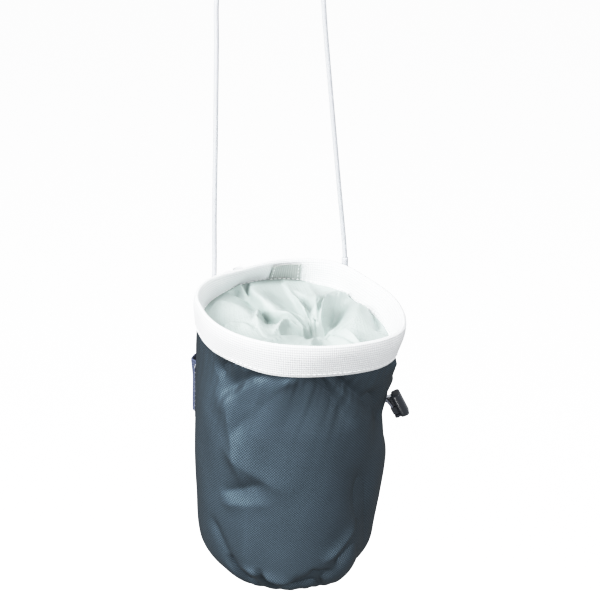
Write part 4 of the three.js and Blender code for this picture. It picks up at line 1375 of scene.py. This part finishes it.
def crossRows(piece, width, shares):
    edge = stitching[piece]["edge"] / width
    return [rowOn(piece, (share, edge), (share, 1 - edge)) for share in shares]


# Rows lie in from the webbing's edge and a little above its face
stitching = {
    "patch": {"place": patchPlace, "edge": 1.4, "lift": 0.1, "steps": 12},
    "brush": {"place": brushPlace, "edge": 1.5, "lift": 0.05, "steps": 16},
    "belt": {"edge": 1.1, "lift": 0.05, "steps": 10},
    "patchDown": (1.0, 13.4, 13.6),  # below its top: the sides' start and end, and the hem
}

bandRow = ringPath(outerFace + 0.2, band["height"] - 2.2)
makeStitches("bandStitches", "rim_webbing", [bandRow], 3.0, 2.5)
seamRow = ringPath(innerFace - 0.1, band["inside"] - 2.0)
makeStitches("seamStitches", "rim_webbing", [seamRow], 3.0, 2.5)

sideTop, sideEnd, hem = (down / webbing["patchHeight"] for down in stitching["patchDown"])
inset = stitching["patch"]["edge"] / webbing["patchWidth"]
patchRows = [rowOn("patch", (sideTop, at), (sideEnd, at)) for at in (inset, 1 - inset)]
patchRows += crossRows("patch", webbing["patchWidth"], [hem])
makeStitches("patchStitches", "patch_webbing", patchRows, 2.6, 2.1)

brushRows = crossRows("brush", webbing["brushHeight"], (0.04, 0.1, 0.9, 0.96))
makeStitches("brushStitches", "brush_webbing", brushRows, 3.0, 2.5)

beltRows = []
for beltAngle in webbing["beltAngles"].values():
    stitching["belt"]["place"] = functools.partial(beltPlace, beltAngle)
    beltRows += crossRows("belt", webbing["beltWidth"], (0.03, 0.1, 0.9, 0.97))
makeStitches("beltStitches", "rim_webbing", beltRows, 1.9, 1.5)
print("stitches made")


# Floor and light

ground = {"half": 9000, "depth": 900, "glow": 1.2}


def makeStage():
    half, depth = ground["half"], ground["depth"]
    corners = [(-half, -half), (half, -half), (half, half), (-half, half)]
    material, _, _ = newMaterial("paintedFloor", "#fbfbfb", 0.9, **{
        "Specular IOR Level": 0.2, "Emission Color": (1, 1, 1, 1),
        "Emission Strength": ground["glow"],
    })
    floor = meshOf("floor", [(x, y, -depth) for x, y in corners], [[0, 1, 2, 3]], None, material,
                   (0, 0, 0))
    holder = addObject("floor", floor)
    holder.visible_diffuse = False  # the photograph's white ground casts no light on the bag
    holder.visible_glossy = False


# azimuth, elevation, distance, width and height in metres, power in watts
lamps = {
    "middle": (0.003, -0.052, -0.28),
    "softboxes": {
        "keySoftbox": (-64, 38, 1.4, (0.5, 1.0), 30),
        "fillSoftbox": (38, 34, 1.8, (1.0, 1.0), 14),
        "lowCard": (-19.7, -32.9, 0.476, (0.05, 0.13), 0.19),
        "topSoftbox": (-10, 76, 1.4, (1.2, 1.2), 7),
    },
    "surround": ("#f6f8fa", 0.35),
}


def addLight(name, azimuth, elevation, distance, size, power):
    light = bpy.data.lights.new(name, "AREA")
    light.shape = "RECTANGLE"
    light.size, light.size_y = size
    light.energy = power
    holder = placeAround(name, light, lamps["middle"], azimuth, elevation, distance)
    holder.visible_camera = False


def makeWorld(colour, strength):
    world = bpy.data.worlds.new("studio")
    world.use_nodes = True
    background = world.node_tree.nodes["Background"]
    background.inputs[0].default_value = hexToLinear(colour)
    background.inputs[1].default_value = strength
    bpy.context.scene.world = world


makeStage()
for lampName, lamp in lamps["softboxes"].items():
    addLight(lampName, *lamp)
makeWorld(*lamps["surround"])


# A camera's tone curve: white webbing keeps its ribs and dark cloth its depth. Its points are
# light from 0 to the white level, then the tone from 0 to 1.
tones = {
    "white": 2.0,
    "points": ((0.03, 0.024), (0.1, 0.098), (0.25, 0.31), (0.5, 0.6), (0.8, 0.8), (1.2, 0.92)),
}


def setTones():
    look = bpy.context.scene.view_settings
    look.view_transform = "Standard"
    look.use_curve_mapping = True
    look.curve_mapping.white_level = [tones["white"]] * 3
    curve = look.curve_mapping.curves[3]
    for light, tone in tones["points"]:
        curve.points.new(light / tones["white"], tone)
    look.curve_mapping.update()


setTones()
print("stage made")
